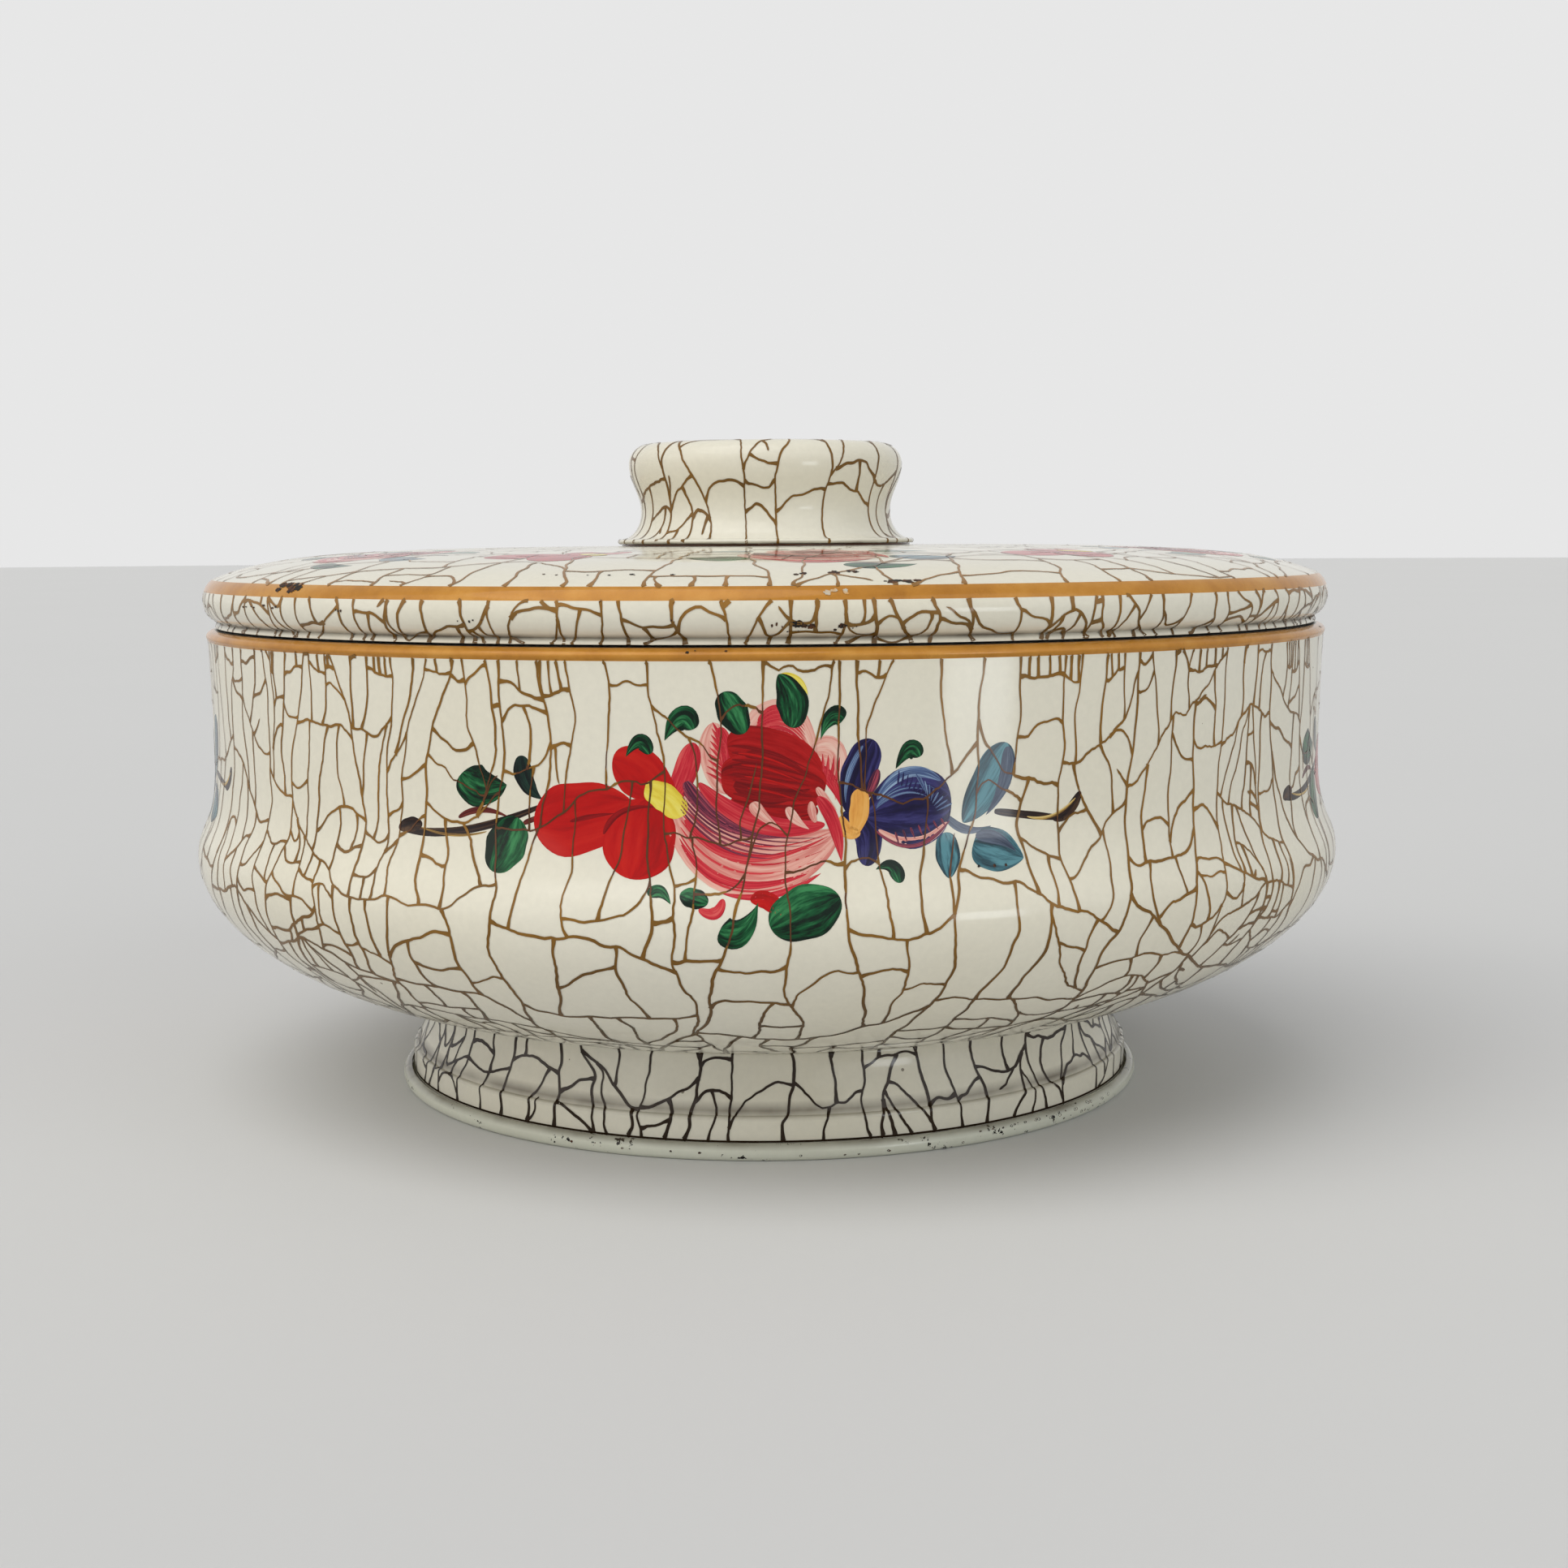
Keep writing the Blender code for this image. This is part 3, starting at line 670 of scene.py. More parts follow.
ROSE = (
    # paint, start, bend, end, width, fullness, layer
    ("pale_pink", (-1.9, 10.4), (3.6, 17.2), (7.8, 6.4), 6.2, EGG, 0),
    ("pale_pink", (-7.0, 12.5), (-7.6, 7.0), (-5.0, 1.8), 5.2, ROUND, 0),
    ("pale_pink", (7.4, 7.8), (12.6, 10.2), (11.0, 0.6), 4.4, DROP, 0),
    ("crimson", (-6.4, 11.8), (-4.6, 7.4), (-5.7, 3.2), 2.3, DROP, 1),
    ("crimson", (8.2, 5.6), (10.6, 4.6), (11.8, -0.2), 1.9, DROP, 1),
    ("deep_red", (-5.2, 8.8), (1.6, 9.6), (8.4, 4.2), 7.0, BOX, 2),
    ("deep_red", (-6.2, 4.2), (1.0, 4.4), (9.4, 2.0), 8.6, BOX, 3),
    ("deep_red", (-4.8, 0.8), (1.4, -2.2), (8.4, -0.8), 4.8, ROUND, 2),
    ("blood", (-4.2, 3.4), (1.6, 0.2), (7.2, 2.4), 3.0, DROP, 4),
    ("blood", (-2.6, 7.6), (1.6, 8.4), (6.2, 5.2), 1.6, DROP, 4),
    ("pale_pink", (-12.9, 0.8), (-3.0, -15.8), (11.4, -4.0), 10.8, (0.36, 0.6), 2),
    ("crimson", (-11.8, -2.2), (-4.8, -12.4), (9.9, -4.8), 1.3, DROP, 4),
    ("crimson", (-12.6, -5.0), (-7.0, -15.6), (6.6, -10.4), 1.2, (0.8, 0.7), 4),
    ("crimson", (-6.4, -13.2), (1.0, -15.6), (8.6, -10.4), 1.0, (0.8, 0.8), 4),
    ("crimson", (-9.6, 3.4), (-2.2, -5.4), (9.4, -3.0), 3.2, ROUND, 4),
    ("plum", (-11.6, 3.6), (-7.4, -4.6), (2.6, -5.0), 2.2, (0.3, 1.0), 5),
    ("pale_pink", (-1.6, 0.4), (-0.4, -1.6), (3.2, -4.0), 1.9, COMMA, 6),
    ("pale_pink", (3.8, -0.3), (4.4, -2.2), (7.0, -3.7), 1.5, DROP, 6),
    ("pale_pink", (7.4, 0.5), (7.2, -1.0), (8.0, -2.7), 1.2, ROUND, 6),
    ("pale_pink", (8.2, 2.6), (9.4, 0.8), (11.2, -0.9), 1.1, DROP, 6),
    ("crimson", (8.3, 1.2), (11.4, -2.0), (11.8, -8.6), 2.1, (0.5, 0.8), 7),
)
ROSE_LINES = (
    # paint, first start, bend and end, last start, bend and end, count, width, layer
    ("crimson", ((-12.2, -0.2), (-3.4, -9.8), (10.4, -4.2)),
     ((-12.6, -5.4), (-6.6, -17.4), (8.0, -10.6)), 6, 0.34, 3),
    ("crimson", ((-1.3, 9.6), (3.6, 12.2), (6.8, 7.4)),
     ((-0.6, 12.8), (2.4, 17.4), (6.4, 11.8)), 8, 0.6, 1),
    ("crimson", ((-4.9, 2.6), (-6.6, 4.2), (-8.5, 5.0)),
     ((-5.6, 9.4), (-6.8, 11.4), (-7.4, 12.6)), 9, 0.55, 1),
    ("crimson", ((8.2, 4.8), (8.6, 6.6), (8.2, 7.9)),
     ((10.9, 2.8), (11.4, 4.8), (11.7, 7.2)), 5, 0.5, 1),
    ("plum", ((-11.9, 2.6), (-6.4, -5.8), (9.0, -5.0)),
     ((-12.4, -0.6), (-6.4, -8.4), (1.4, -8.0)), 6, 0.32, 5),
    ("blood", ((-4.6, 9.0), (1.0, 8.8), (7.0, 5.4)), ((-4.4, 0.8), (1.6, -0.8), (7.6, 0.2)), 9, 0.5, 5),
    ("red", ((-3.6, 7.9), (1.0, 7.6), (5.6, 4.9)), ((-2.2, 2.6), (2.0, 2.2), (6.4, 0.2)), 4, 0.3, 6),
)
RED_FLOWER = (
    ("red", (-35.8, -3.4), (-28.6, -2.8), (-19.8, 0.2), 11.2, (0.5, 0.62), 1),
    ("red", (-22.8, 6.9), (-18.2, 5.8), (-13.0, -1.4), 7.4, EGG, 2),
    ("red", (-20.0, -11.3), (-18.8, -5.4), (-17.4, 0.8), 11.4, ROUND, 3),
    ("blood", (-24.4, -4.6), (-22.6, 0.4), (-15.6, -0.4), 0.9, DROP, 4),
    ("blood", (-29.8, -2.8), (-26.4, -1.8), (-22.6, -1.4), 0.7, DROP, 4),
    ("crimson", (-10.3, 9.5), (-11.4, 4.4), (-14.0, 0.2), 3.7, EGG, 1),
    ("yellow", (-17.9, 2.4), (-14.0, 1.6), (-12.3, -1.8), 4.2, BOX, 5),
)
BLUE_FLOWER = (
    ("violet", (16.8, 9.7), (14.4, 5.2), (12.9, -1.4), 5.4, EGG, 1),
    ("steel", (15.2, 8.8), (12.2, 4.4), (12.6, 0.2), 0.8, DROP, 2),
    ("plum", (17.5, 5.2), (17.0, 2.4), (14.8, -0.4), 1.4, DROP, 2),
    ("violet", (11.8, -2.0), (17.8, -2.0), (15.4, -9.4), 4.4, (0.5, 0.42), 1),
    ("violet", (29.1, -0.6), (23.0, -0.4), (15.6, -1.9), 12.4, (0.5, 0.64), 3),
    ("steel", (17.4, 0.6), (21.4, 7.2), (27.4, 3.2), 1.7, ROUND, 4),
    ("pale_pink", (17.6, -4.0), (23.4, -8.6), (28.4, -3.2), 1.5, ROUND, 4),
    ("plum", (17.0, -4.0), (23.0, -9.8), (28.8, -3.0), 0.6, ROUND, 5),
    ("orange", (14.6, 2.3), (15.2, -0.8), (13.6, -5.0), 3.0, (0.4, 0.55), 4),
    ("orange", (12.0, -1.8), (11.9, -4.8), (14.8, -4.4), 2.2, ROUND, 4),
)
BLUE_LINES = (
    ("violet", ((20.6, 2.8), (20.8, 4.2), (20.8, 5.0)), ((27.0, -0.2), (28.0, 0.6), (28.8, 1.2)),
     12, 0.28, 5),
    ("steel", ((17.4, -0.2), (21.4, 4.8), (26.8, 1.8)), ((17.2, -0.8), (21.4, 3.0), (25.6, 0.6)),
     3, 0.3, 5),
    ("steel", ((23.4, 4.4), (24.2, 3.0), (24.8, 1.6)), ((29.2, -0.4), (28.0, -0.9), (26.8, -1.4)),
     9, 0.24, 6),
    ("plum", ((20.2, -4.4), (20.4, -5.4), (20.8, -6.4)), ((27.4, -2.6), (27.8, -3.4), (28.2, -3.8)),
     7, 0.3, 5),
)
LEAVES = (
    ("leaf", (-48.4, 4.0), (-45.6, 0.8), (-40.4, 2.5), 6.6, (0.45, 0.8), 1),
    ("leaf", (-38.6, -2.5), (-40.4, -6.4), (-42.4, -11.0), 6.9, ROUND, 1),
    ("dark_leaf", (-37.6, 7.1), (-38.0, 2.4), (-34.4, 0.5), 3.2, DROP, 1),
    ("teal", (38.2, 8.6), (36.0, 3.0), (31.0, -3.4), 6.0, EGG, 1),
    ("slate", (38.3, 8.0), (39.2, 2.4), (34.8, -2.4), 2.3, DROP, 2),
    ("teal", (28.0, -4.8), (28.6, -8.0), (28.2, -11.8), 3.9, EGG, 1),
    ("teal", (32.6, -6.6), (36.4, -8.0), (40.8, -9.3), 6.8, (0.4, 0.72), 1),
    ("slate", (33.0, -5.6), (36.6, -5.2), (39.6, -8.2), 2.0, DROP, 2),
)
SPRIGS = (
    ("leaf", (-17.0, 7.7), (-18.4, 11.6), (-20.7, 7.3), 2.5, DROP, 4),
    ("leaf", (-10.3, 11.5), (-12.0, 15.6), (-14.7, 9.8), 3.8, DROP, 4),
    ("leaf", (-5.8, 17.1), (-4.6, 14.2), (-2.6, 10.9), 4.6, ROUND, 4),
    ("yellow", (2.6, 19.4), (5.8, 19.8), (6.9, 16.6), 1.2, DROP, 3),
    ("leaf", (4.4, 11.7), (5.6, 16.0), (2.5, 19.7), 4.7, EGG, 4),
    ("leaf", (12.4, 13.0), (10.0, 14.6), (8.8, 9.8), 3.1, COMMA, 4),
    ("leaf", (24.0, 6.9), (22.6, 9.9), (20.3, 5.2), 2.9, DROP, 1),
    ("leaf", (-16.9, -13.9), (-15.4, -11.9), (-13.6, -15.1), 2.1, DROP, 1),
    ("crimson", (-9.4, -15.8), (-6.4, -17.8), (-5.9, -14.2), 1.8, ROUND, 3),
    ("leaf", (-12.3, -13.7), (-10.2, -14.0), (-8.1, -14.9), 3.1, ROUND, 4),
    ("red", (-1.8, -14.6), (0.8, -13.2), (2.6, -16.8), 2.8, ROUND, 4),
    ("leaf", (-6.4, -19.2), (-2.6, -20.8), (-0.7, -14.8), 4.8, COMMA, 5),
    ("leaf", (1.1, -18.7), (6.0, -16.4), (11.3, -14.1), 8.2, ROUND, 6),
    ("leaf", (20.5, -12.2), (20.2, -8.2), (17.0, -10.0), 2.3, DROP, 1),
)
STEMS = (
    ("stem", (-60.9, -5.2), (-49.0, -7.0), (-34.2, -0.4), 1.3, LINE, 0),
    ("stem", (-61.0, -5.4), (-58.6, -4.2), (-56.2, -4.5), 2.3, ROUND, 0),
    ("twig", (-49.2, -3.0), (-45.0, -0.2), (-39.6, -2.8), 1.0, DROP, 0),
    ("twig", (-37.6, -3.4), (-36.0, -2.6), (-34.2, -2.2), 0.8, LINE, 0),
    ("slate", (28.2, -2.2), (31.0, -5.8), (35.6, -4.1), 1.4, DROP, 0),
    ("stem", (36.2, -1.9), (42.0, -2.8), (48.4, -3.6), 1.2, LINE, 0),
    ("stem", (46.4, -3.7), (49.6, -3.6), (51.5, 0.4), 1.7, (0.5, 0.4), 0),
    ("gilt", (41.8, -3.0), (46.6, -4.4), (50.6, -0.6), 0.5, ROUND, 1),
    ("gilt", (-56.4, -4.9), (-50.0, -6.6), (-44.0, -4.9), 0.4, ROUND, 1),
)
WREATH_LEAVES = (
    ("leaf", (13.0, 5.4), (18.4, 10.4), (24.6, 5.4), 7.0, DROP, 1),
    ("teal", (13.4, -4.8), (19.0, -11.0), (24.8, -7.0), 7.2, DROP, 1),
    ("teal", (-12.4, 8.0), (-17.4, 10.4), (-22.8, 6.4), 6.4, DROP, 1),
    ("leaf", (-13.0, -6.4), (-18.0, -10.6), (-23.6, -6.6), 7.0, DROP, 1),
    ("leaf", (3.0, -15.8), (8.4, -19.4), (14.6, -16.6), 5.0, DROP, 1),
    ("leaf", (-4.0, 15.6), (-9.0, 18.6), (-13.6, 15.8), 4.4, DROP, 1),
    ("stem", (12.8, 0.2), (18.0, 1.6), (24.6, -1.2), 1.1, LINE, 0),
    ("stem", (-12.8, 0.2), (-18.0, 1.2), (-23.6, -0.8), 1.1, LINE, 0),
)


def rows_of_lines(lines):
    """Strokes from one place to another, for each family of fine brush lines."""
    rows = []
    for paint, first, last, count, width, layer in lines:
        for share in np.linspace(0, 1, count):
            points = (1 - share) * np.array(first) + share * np.array(last)
            rows.append((paint, *points, width, DROP, layer))
    return rows


SPRAY = [*STEMS, *LEAVES, *RED_FLOWER, *BLUE_FLOWER, *rows_of_lines(BLUE_LINES), *ROSE,
         *rows_of_lines(ROSE_LINES), *SPRIGS]
WREATH_ROSE = [*WREATH_LEAVES, *ROSE, *rows_of_lines(ROSE_LINES)]


def stroke_outline(row):
    """Shares of the way along a stroke, its middle line and half its width there, in millimetres."""
    start, bend, end = (complex(*point) for point in row[1:4])
    width, fullness = row[4:6]
    t = (1 - np.cos(np.linspace(0, math.pi, STROKE_ALONG + 1))) / 2
    line = start * (1 - t) ** 2 + bend * 2 * t * (1 - t) + end * t ** 2
    full = t ** fullness[0] * (1 - t) ** fullness[1]
    return t, line, width / 2 * full / full.max() + LEAST_HALF_WIDTH


def under_strokes(sheet, placings):
    """A test of which places on a sheet, given by their angles and runs, lie under brush strokes."""
    def covered(angles, runs):
        found = np.zeros(len(angles), bool)
        for table, angle, run, size, upward, origin in placings:
            turn = (angles - angle + math.pi) % math.tau - math.pi
            around = turn * sheet.radius_at(run)
            places = (around + 1j * upward * (runs - run)) / (size * MM) + origin
            if np.abs(places).min() < SPRAY_REACH:
                for row in table:
                    if row[4] > FINE_STROKE:
                        _, line, half = stroke_outline(row)
                        found |= (np.abs(places[:, None] - line) < half).any(axis=1)
        return found
    return covered


def add_stroke(shape, sheet, placing, row, cell, finishes, chance):
    """Lay one brush stroke on a sheet, as a strip that narrows to both its ends."""
    paint, layer = row[0], row[-1]
    angle, run, size, upward, origin = placing
    stroke_map, bake_map = shape.loops.layers.uv["stroke"], shape.loops.layers.uv["OFBake"]
    brush = shape.verts.layers.float["brush"]
    t, line, half = stroke_outline(row)
    ahead = np.gradient(line)
    ahead /= np.abs(ahead)
    half = half * (1 + WAVER_SHARE * np.sin(t * chance.uniform(9, 16) + chance.uniform(0, 6)))
    steps_across = STROKE_ACROSS if row[4] > FINE_STROKE else FINE_ACROSS
    across = np.linspace(-1, 1, steps_across + 1)
    flat = (line[:, None] - origin + 1j * (ahead * half)[:, None] * across) * size * MM
    angles = angle + flat.real / sheet.radius_at(run)
    spots = sheet.place(angles, run + upward * flat.imag, PRINT_DEPTH - LAYER * (layer + 1))
    mark = chance.random()
    shares = (across + 1) / 2 + 1j * t[:, None]
    cell_corner, cells_across = cell
    inset = shares * (1 - 2 * MARGIN_SHARE) + MARGIN_SHARE * (1 + 1j)
    maps = ((stroke_map, shares), (bake_map, (cell_corner + inset) / cells_across))
    for row_of_corners in add_grid(shape, spots, [finishes.index(paint)] * STROKE_ALONG, maps=maps):
        for corner in row_of_corners:
            corner[brush] = mark


def painted(name, sheet, placings, paints, seed):
    """Tables of strokes, each laid at an angle and run, with a size, a way up and a middle."""
    chance = random.Random(seed)
    finishes = sorted({row[0] for table, *_ in placings for row in table})
    side = math.ceil(math.sqrt(sum(len(table) for table, *_ in placings)))
    cells = ((complex(column, row), side) for row in range(side) for column in range(side))
    shape = bmesh.new()
    for layer in ("stroke", "OFBake"):
        shape.loops.layers.uv.new(layer)
    shape.verts.layers.float.new("brush")
    for table, *placing in placings:
        for row in table:
            add_stroke(shape, sheet, placing, row, next(cells), finishes, chance)
    for face in shape.faces:
        middle = face.calc_center_median()
        if face.normal.dot(Vector((middle.x, middle.y, 0)).normalized() + Vector((0, 0, 1))) < 0:
            face.normal_flip()
    return piece_from(name, shape, [paints[paint] for paint in finishes])


CHIP_CORNERS = 18
CHIP_RAGGED_SHARES, CHIP_SIZE_SHARES = (0.6, 1.1), (0.4, 1.2)
CHIP_STRAY_SHARES = (-0.3, 1.3)           # of the usual gap along a stretch

# Worn places: from and to, in degrees from the front, height above the table, chips, their width
# and height, in millimetres
LID_WEAR = (
    (-48.6, -45.2, 97.55, 8, 2.9, 1.5),
    (-55.5, -52.3, 94.1, 4, 1.3, 0.45),
    (-50.5, -48.3, 94.2, 3, 1.4, 0.5),
    (-39.6, -38.4, 93.9, 4, 0.5, 0.6),
    (-26.3, -23.4, 92.6, 5, 0.5, 0.5),
    (-7.8, -6.8, 92.7, 2, 0.3, 0.5),
    (0.4, 2.3, 92.0, 4, 0.35, 0.6),
    (2.4, 3.9, 92.0, 5, 1.5, 1.0),
    (1.8, 3.5, 91.1, 3, 0.35, 0.3),
    (6.0, 7.0, 91.5, 3, 1.2, 0.9),
    (7.3, 7.8, 91.6, 2, 0.3, 0.35),
    (2.9, 3.9, 99.5, 4, 1.2, 1.3),
    (5.8, 8.4, 99.8, 6, 1.1, 1.2),
    (10.1, 13.0, 98.35, 8, 1.7, 0.9),
    (-20.0, -8.0, 99.6, 7, 0.9, 0.7),
    (96.0, 104.0, 94.4, 5, 1.3, 0.5),
    (158.0, 160.0, 97.7, 3, 1.8, 0.8),
    (206.0, 221.0, 92.4, 6, 1.2, 0.5),
)
GOLD_WEAR = (
    (5.1, 6.2, 96.8, 3, 1.3, 1.1),
    (6.5, 7.3, 96.75, 2, 1.0, 1.2),
    (203.0, 205.0, 97.0, 3, 1.4, 1.0),
)
BOWL_WEAR = (
    (-6.2, -2.8, 88.2, 3, 0.6, 0.45),
    (70.0, 76.0, 88.3, 4, 0.9, 0.5),
    (18.0, 22.0, 55.0, 4, 0.5, 0.5),
    (150.0, 162.0, 46.8, 6, 1.0, 0.7),
    (236.0, 240.0, 47.4, 3, 1.2, 0.8),
)
CURL_WEAR = (
    (30.0, 43.0, 2.2, 9, 0.7, 0.35),
    (40.0, 60.0, 2.0, 14, 0.9, 0.5),
    (44.0, 58.0, 1.2, 8, 0.8, 0.4),
    (5.0, 28.0, 1.0, 8, 0.6, 0.35),
    (-32.0, -8.0, 1.6, 7, 0.6, 0.35),
    (100.0, 290.0, 1.5, 40, 0.8, 0.45),
)


def chips(name, sheet, wear, span, depth, finish, seed):
    """Ragged spots where the print has come off, scattered along each worn stretch of a span."""
    chance = random.Random(seed)
    turns = np.arange(CHIP_CORNERS) * math.tau / CHIP_CORNERS
    shape = bmesh.new()
    for start, end, level, count, *size in wear:
        level, width, height = (value * MM for value in (level, *size))
        for index in range(count):
            share = (index + chance.uniform(*CHIP_STRAY_SHARES)) / count
            angle = FRONT + math.radians(start + (end - start) * share)
            run = sheet.run_at(level, *span) + chance.uniform(-0.5, 0.5) * height
            ragged = np.array([chance.uniform(*CHIP_RAGGED_SHARES) for _ in turns])
            ragged = ragged * chance.uniform(*CHIP_SIZE_SHARES) / 2
            sides = ragged * np.cos(turns) * width / sheet.radius_at(run)
            spots = sheet.place(angle + sides, run + ragged * np.sin(turns) * height, depth)
            shape.faces.new([shape.verts.new(spot) for spot in spots])
    bmesh.ops.triangulate(shape, faces=shape.faces)
    bmesh.ops.recalc_face_normals(shape, faces=shape.faces)
    return piece_from(name, shape, [finish])


# Materials. Noise scales are in cycles per metre

def new_material(name):
    """An empty node material and its Principled shader."""
    made = bpy.data.materials.new(name)
    made.use_nodes = True
    return made, made.node_tree, made.node_tree.nodes["Principled BSDF"]


def connect(tree, made, **inputs):
    """Set a node's inputs, by name or number, each to a value, a colour or another node's output."""
    for key, value in inputs.items():
        socket = made.inputs[int(key[1:])] if key[0] == "_" else made.inputs[key.replace("_", " ")]
        if isinstance(value, bpy.types.NodeSocket):
            tree.links.new(value, socket)
        else:
            socket.default_value = (*value, 1) if isinstance(value, tuple) else value
    return made


def node(tree, kind, **inputs):
    """A new node with some inputs set."""
    return connect(tree, tree.nodes.new(kind), **inputs)


def maths(tree, operation, first, second=0.0, third=0.0):
    """The result of a Math node."""
    made = node(tree, "ShaderNodeMath", _0=first, _1=second, _2=third)
    made.operation = operation
    return made.outputs[0]


def ramp(tree, fac, *stops):
    """A colour ramp through stops, each a place and a colour or a grey."""
    made = node(tree, "ShaderNodeValToRGB", Fac=fac)
    elements = made.color_ramp.elements
    while len(elements) < len(stops):
        elements.new(0.5)
    for element, (position, colour) in zip(elements, stops):
        element.position = position
        element.color = (*colour, 1) if isinstance(colour, tuple) else (colour, colour, colour, 1)
    return made.outputs["Color"]


def mixed(tree, fac, first, second, way='MIX'):
    """A mix of two colours."""
    made = tree.nodes.new("ShaderNodeMix")
    made.data_type = 'RGBA'
    made.blend_type = way
    return connect(tree, made, _0=fac, _6=first, _7=second).outputs[2]


def places_in(tree):
    """The object's own places, in metres."""
    return tree.nodes.new("ShaderNodeTexCoord").outputs["Object"]


def height_in(tree):
    """Height above the table."""
    return node(tree, "ShaderNodeSeparateXYZ", Vector=places_in(tree)).outputs[2]


def cloud(tree, scale, detail=3.0, roughness=0.55, vector=None):
    """Noise on the object's own places, or on a vector."""
    made = node(tree, "ShaderNodeTexNoise", Vector=places_in(tree) if vector is None else vector,
                Scale=scale, Detail=detail, Roughness=roughness)
    return made.outputs["Fac"]


def bumped(tree, height, distance, strength=1.0):
    """A surface normal from a height."""
    return node(tree, "ShaderNodeBump", Height=height, Distance=distance, Strength=strength).outputs[0]


def mottled(name, scale, detail, stops, **numbers):
    """A finish of one noise through a colour ramp, with the shader's other numbers."""
    made, tree, shader = new_material(name)
    connect(tree, shader, Base_Color=ramp(tree, cloud(tree, scale, detail), *stops), **numbers)
    return made


# Clear glossy varnish over the print, which itself hardly shines
VARNISH = {"Specular IOR Level": 0.0, "Coat Weight": 0.9, "Coat IOR": 1.32, "Coat Roughness": 0.12}
CREAM = (0.77, 0.74, 0.63)
AGED_CREAM = (0.71, 0.65, 0.47)
# colour of the painted shade in creases and under edges, and of the darkening on the foot's curl
DARKENING = (0.10, 0.075, 0.05)
SPECK = (0.10, 0.06, 0.03)
OCHRE_DARK = (0.38, 0.155, 0.020)
OCHRE = (0.49, 0.215, 0.030)
OCHRE_LIGHT = (0.60, 0.300, 0.060)
INK_BY_HEIGHT = (
    (FOOT_HEIGHT, (0.030, 0.016, 0.007)),
    (48 * MM, (0.27, 0.13, 0.020)),
    (85 * MM, (0.27, 0.13, 0.020)),
    # painted shade: the ink is darker low on the lid's skirt, down to the crease at 90 mm
    (90 * MM, (0.15, 0.080, 0.020)),
    (92 * MM, (0.23, 0.120, 0.025)),
    (95 * MM, (0.32, 0.155, 0.030)),
    (102 * MM, (0.36, 0.17, 0.030)),
    (KNOB_LEVEL, (0.22, 0.110, 0.022)),
)
COVERED_INK = (0.075, 0.028, 0.010)
CURL_CREAM = (0.66, 0.67, 0.57)
AGED_CURL_CREAM = (0.50, 0.49, 0.38)
TIN = (0.63, 0.62, 0.59)
TIN_DULL = (0.42, 0.40, 0.37)
BARE = (0.016, 0.014, 0.012)
RUST = (0.12, 0.045, 0.018)
UNDERCOAT = (0.50, 0.47, 0.38)


def specked(tree, colour):
    """Dust specks under the varnish."""
    dots = node(tree, "ShaderNodeTexVoronoi", Vector=places_in(tree), Scale=150, Randomness=1.0)
    near = maths(tree, 'LESS_THAN', dots.outputs["Distance"], 0.055)
    chosen = maths(tree, 'GREATER_THAN', cloud(tree, 60, 1), 0.60)
    amount = maths(tree, 'MULTIPLY', near, maths(tree, 'MULTIPLY', chosen, 0.75))
    return mixed(tree, amount, colour, SPECK)


def flaked(tree, colour, wear):
    """A share of the surface chipped down to dark metal, in patches."""
    flakes = maths(tree, 'GREATER_THAN', cloud(tree, 420, 5, 0.7), 1 - wear)
    patches = maths(tree, 'GREATER_THAN', cloud(tree, 45, 2), 0.5)
    return mixed(tree, maths(tree, 'MULTIPLY', flakes, patches), colour, BARE)


def darkened_near(tree, colour, level, reach):
    """Uneven darkening near a height: painted shade in creases and under edges, and a plain darkening
    near the top of the foot's curl.
    """
    away = maths(tree, 'ABSOLUTE', maths(tree, 'SUBTRACT', height_in(tree), level))
    near = maths(tree, 'SUBTRACT', 1, maths(tree, 'DIVIDE', away, reach))
    uneven = maths(tree, 'MULTIPLY_ADD', cloud(tree, 70, 4), 1.5, -0.1)
    amount = maths(tree, 'MULTIPLY', maths(tree, 'MAXIMUM', near, 0), uneven)
    return mixed(tree, maths(tree, 'MINIMUM', amount, 0.85), colour, DARKENING)


def lacquer(name, dark_level=None, dark_reach=SHADE_REACH, wear=0, fresh=CREAM, yellowed=AGED_CREAM):
    """Cream lacquer under clear varnish, a little yellowed in clouds, with dust specks and smudges."""
    made, tree, shader = new_material(name)
    aged = ramp(tree, cloud(tree, 14, 4), (0.35, 0), (0.75, 1))
    grain = ramp(tree, cloud(tree, 900, 2), (0.3, 0.96), (0.7, 1))
    colour = mixed(tree, maths(tree, 'MULTIPLY', aged, 0.38), fresh, yellowed)
    colour = specked(tree, mixed(tree, 1, colour, grain, 'MULTIPLY'))
    if wear:
        colour = flaked(tree, colour, wear)
    # darker near one height: painted shade in a crease or under an edge, and a plain darkening on the
    # foot's curl
    if dark_level:
        colour = darkened_near(tree, colour, dark_level, dark_reach)
    connect(tree, shader, Base_Color=colour,
            Roughness=ramp(tree, cloud(tree, 35, 5, 0.6), (0.3, 0.20), (0.8, 0.34)),
            Normal=bumped(tree, cloud(tree, 260, 2), 0.02 * MM, 0.35), **VARNISH)
    return made


def gold_print():
    """Ochre gold ink of the bands, mottled, under the same varnish."""
    made, tree, shader = new_material("gold_band")
    connect(tree, shader, Metallic=0.12,
            Base_Color=ramp(tree, cloud(tree, 130, 6, 0.65), (0.25, OCHRE_DARK), (0.5, OCHRE),
                            (0.8, OCHRE_LIGHT)),
            Roughness=ramp(tree, cloud(tree, 300, 3), (0.3, 0.24), (0.7, 0.4)), **VARNISH)
    return made


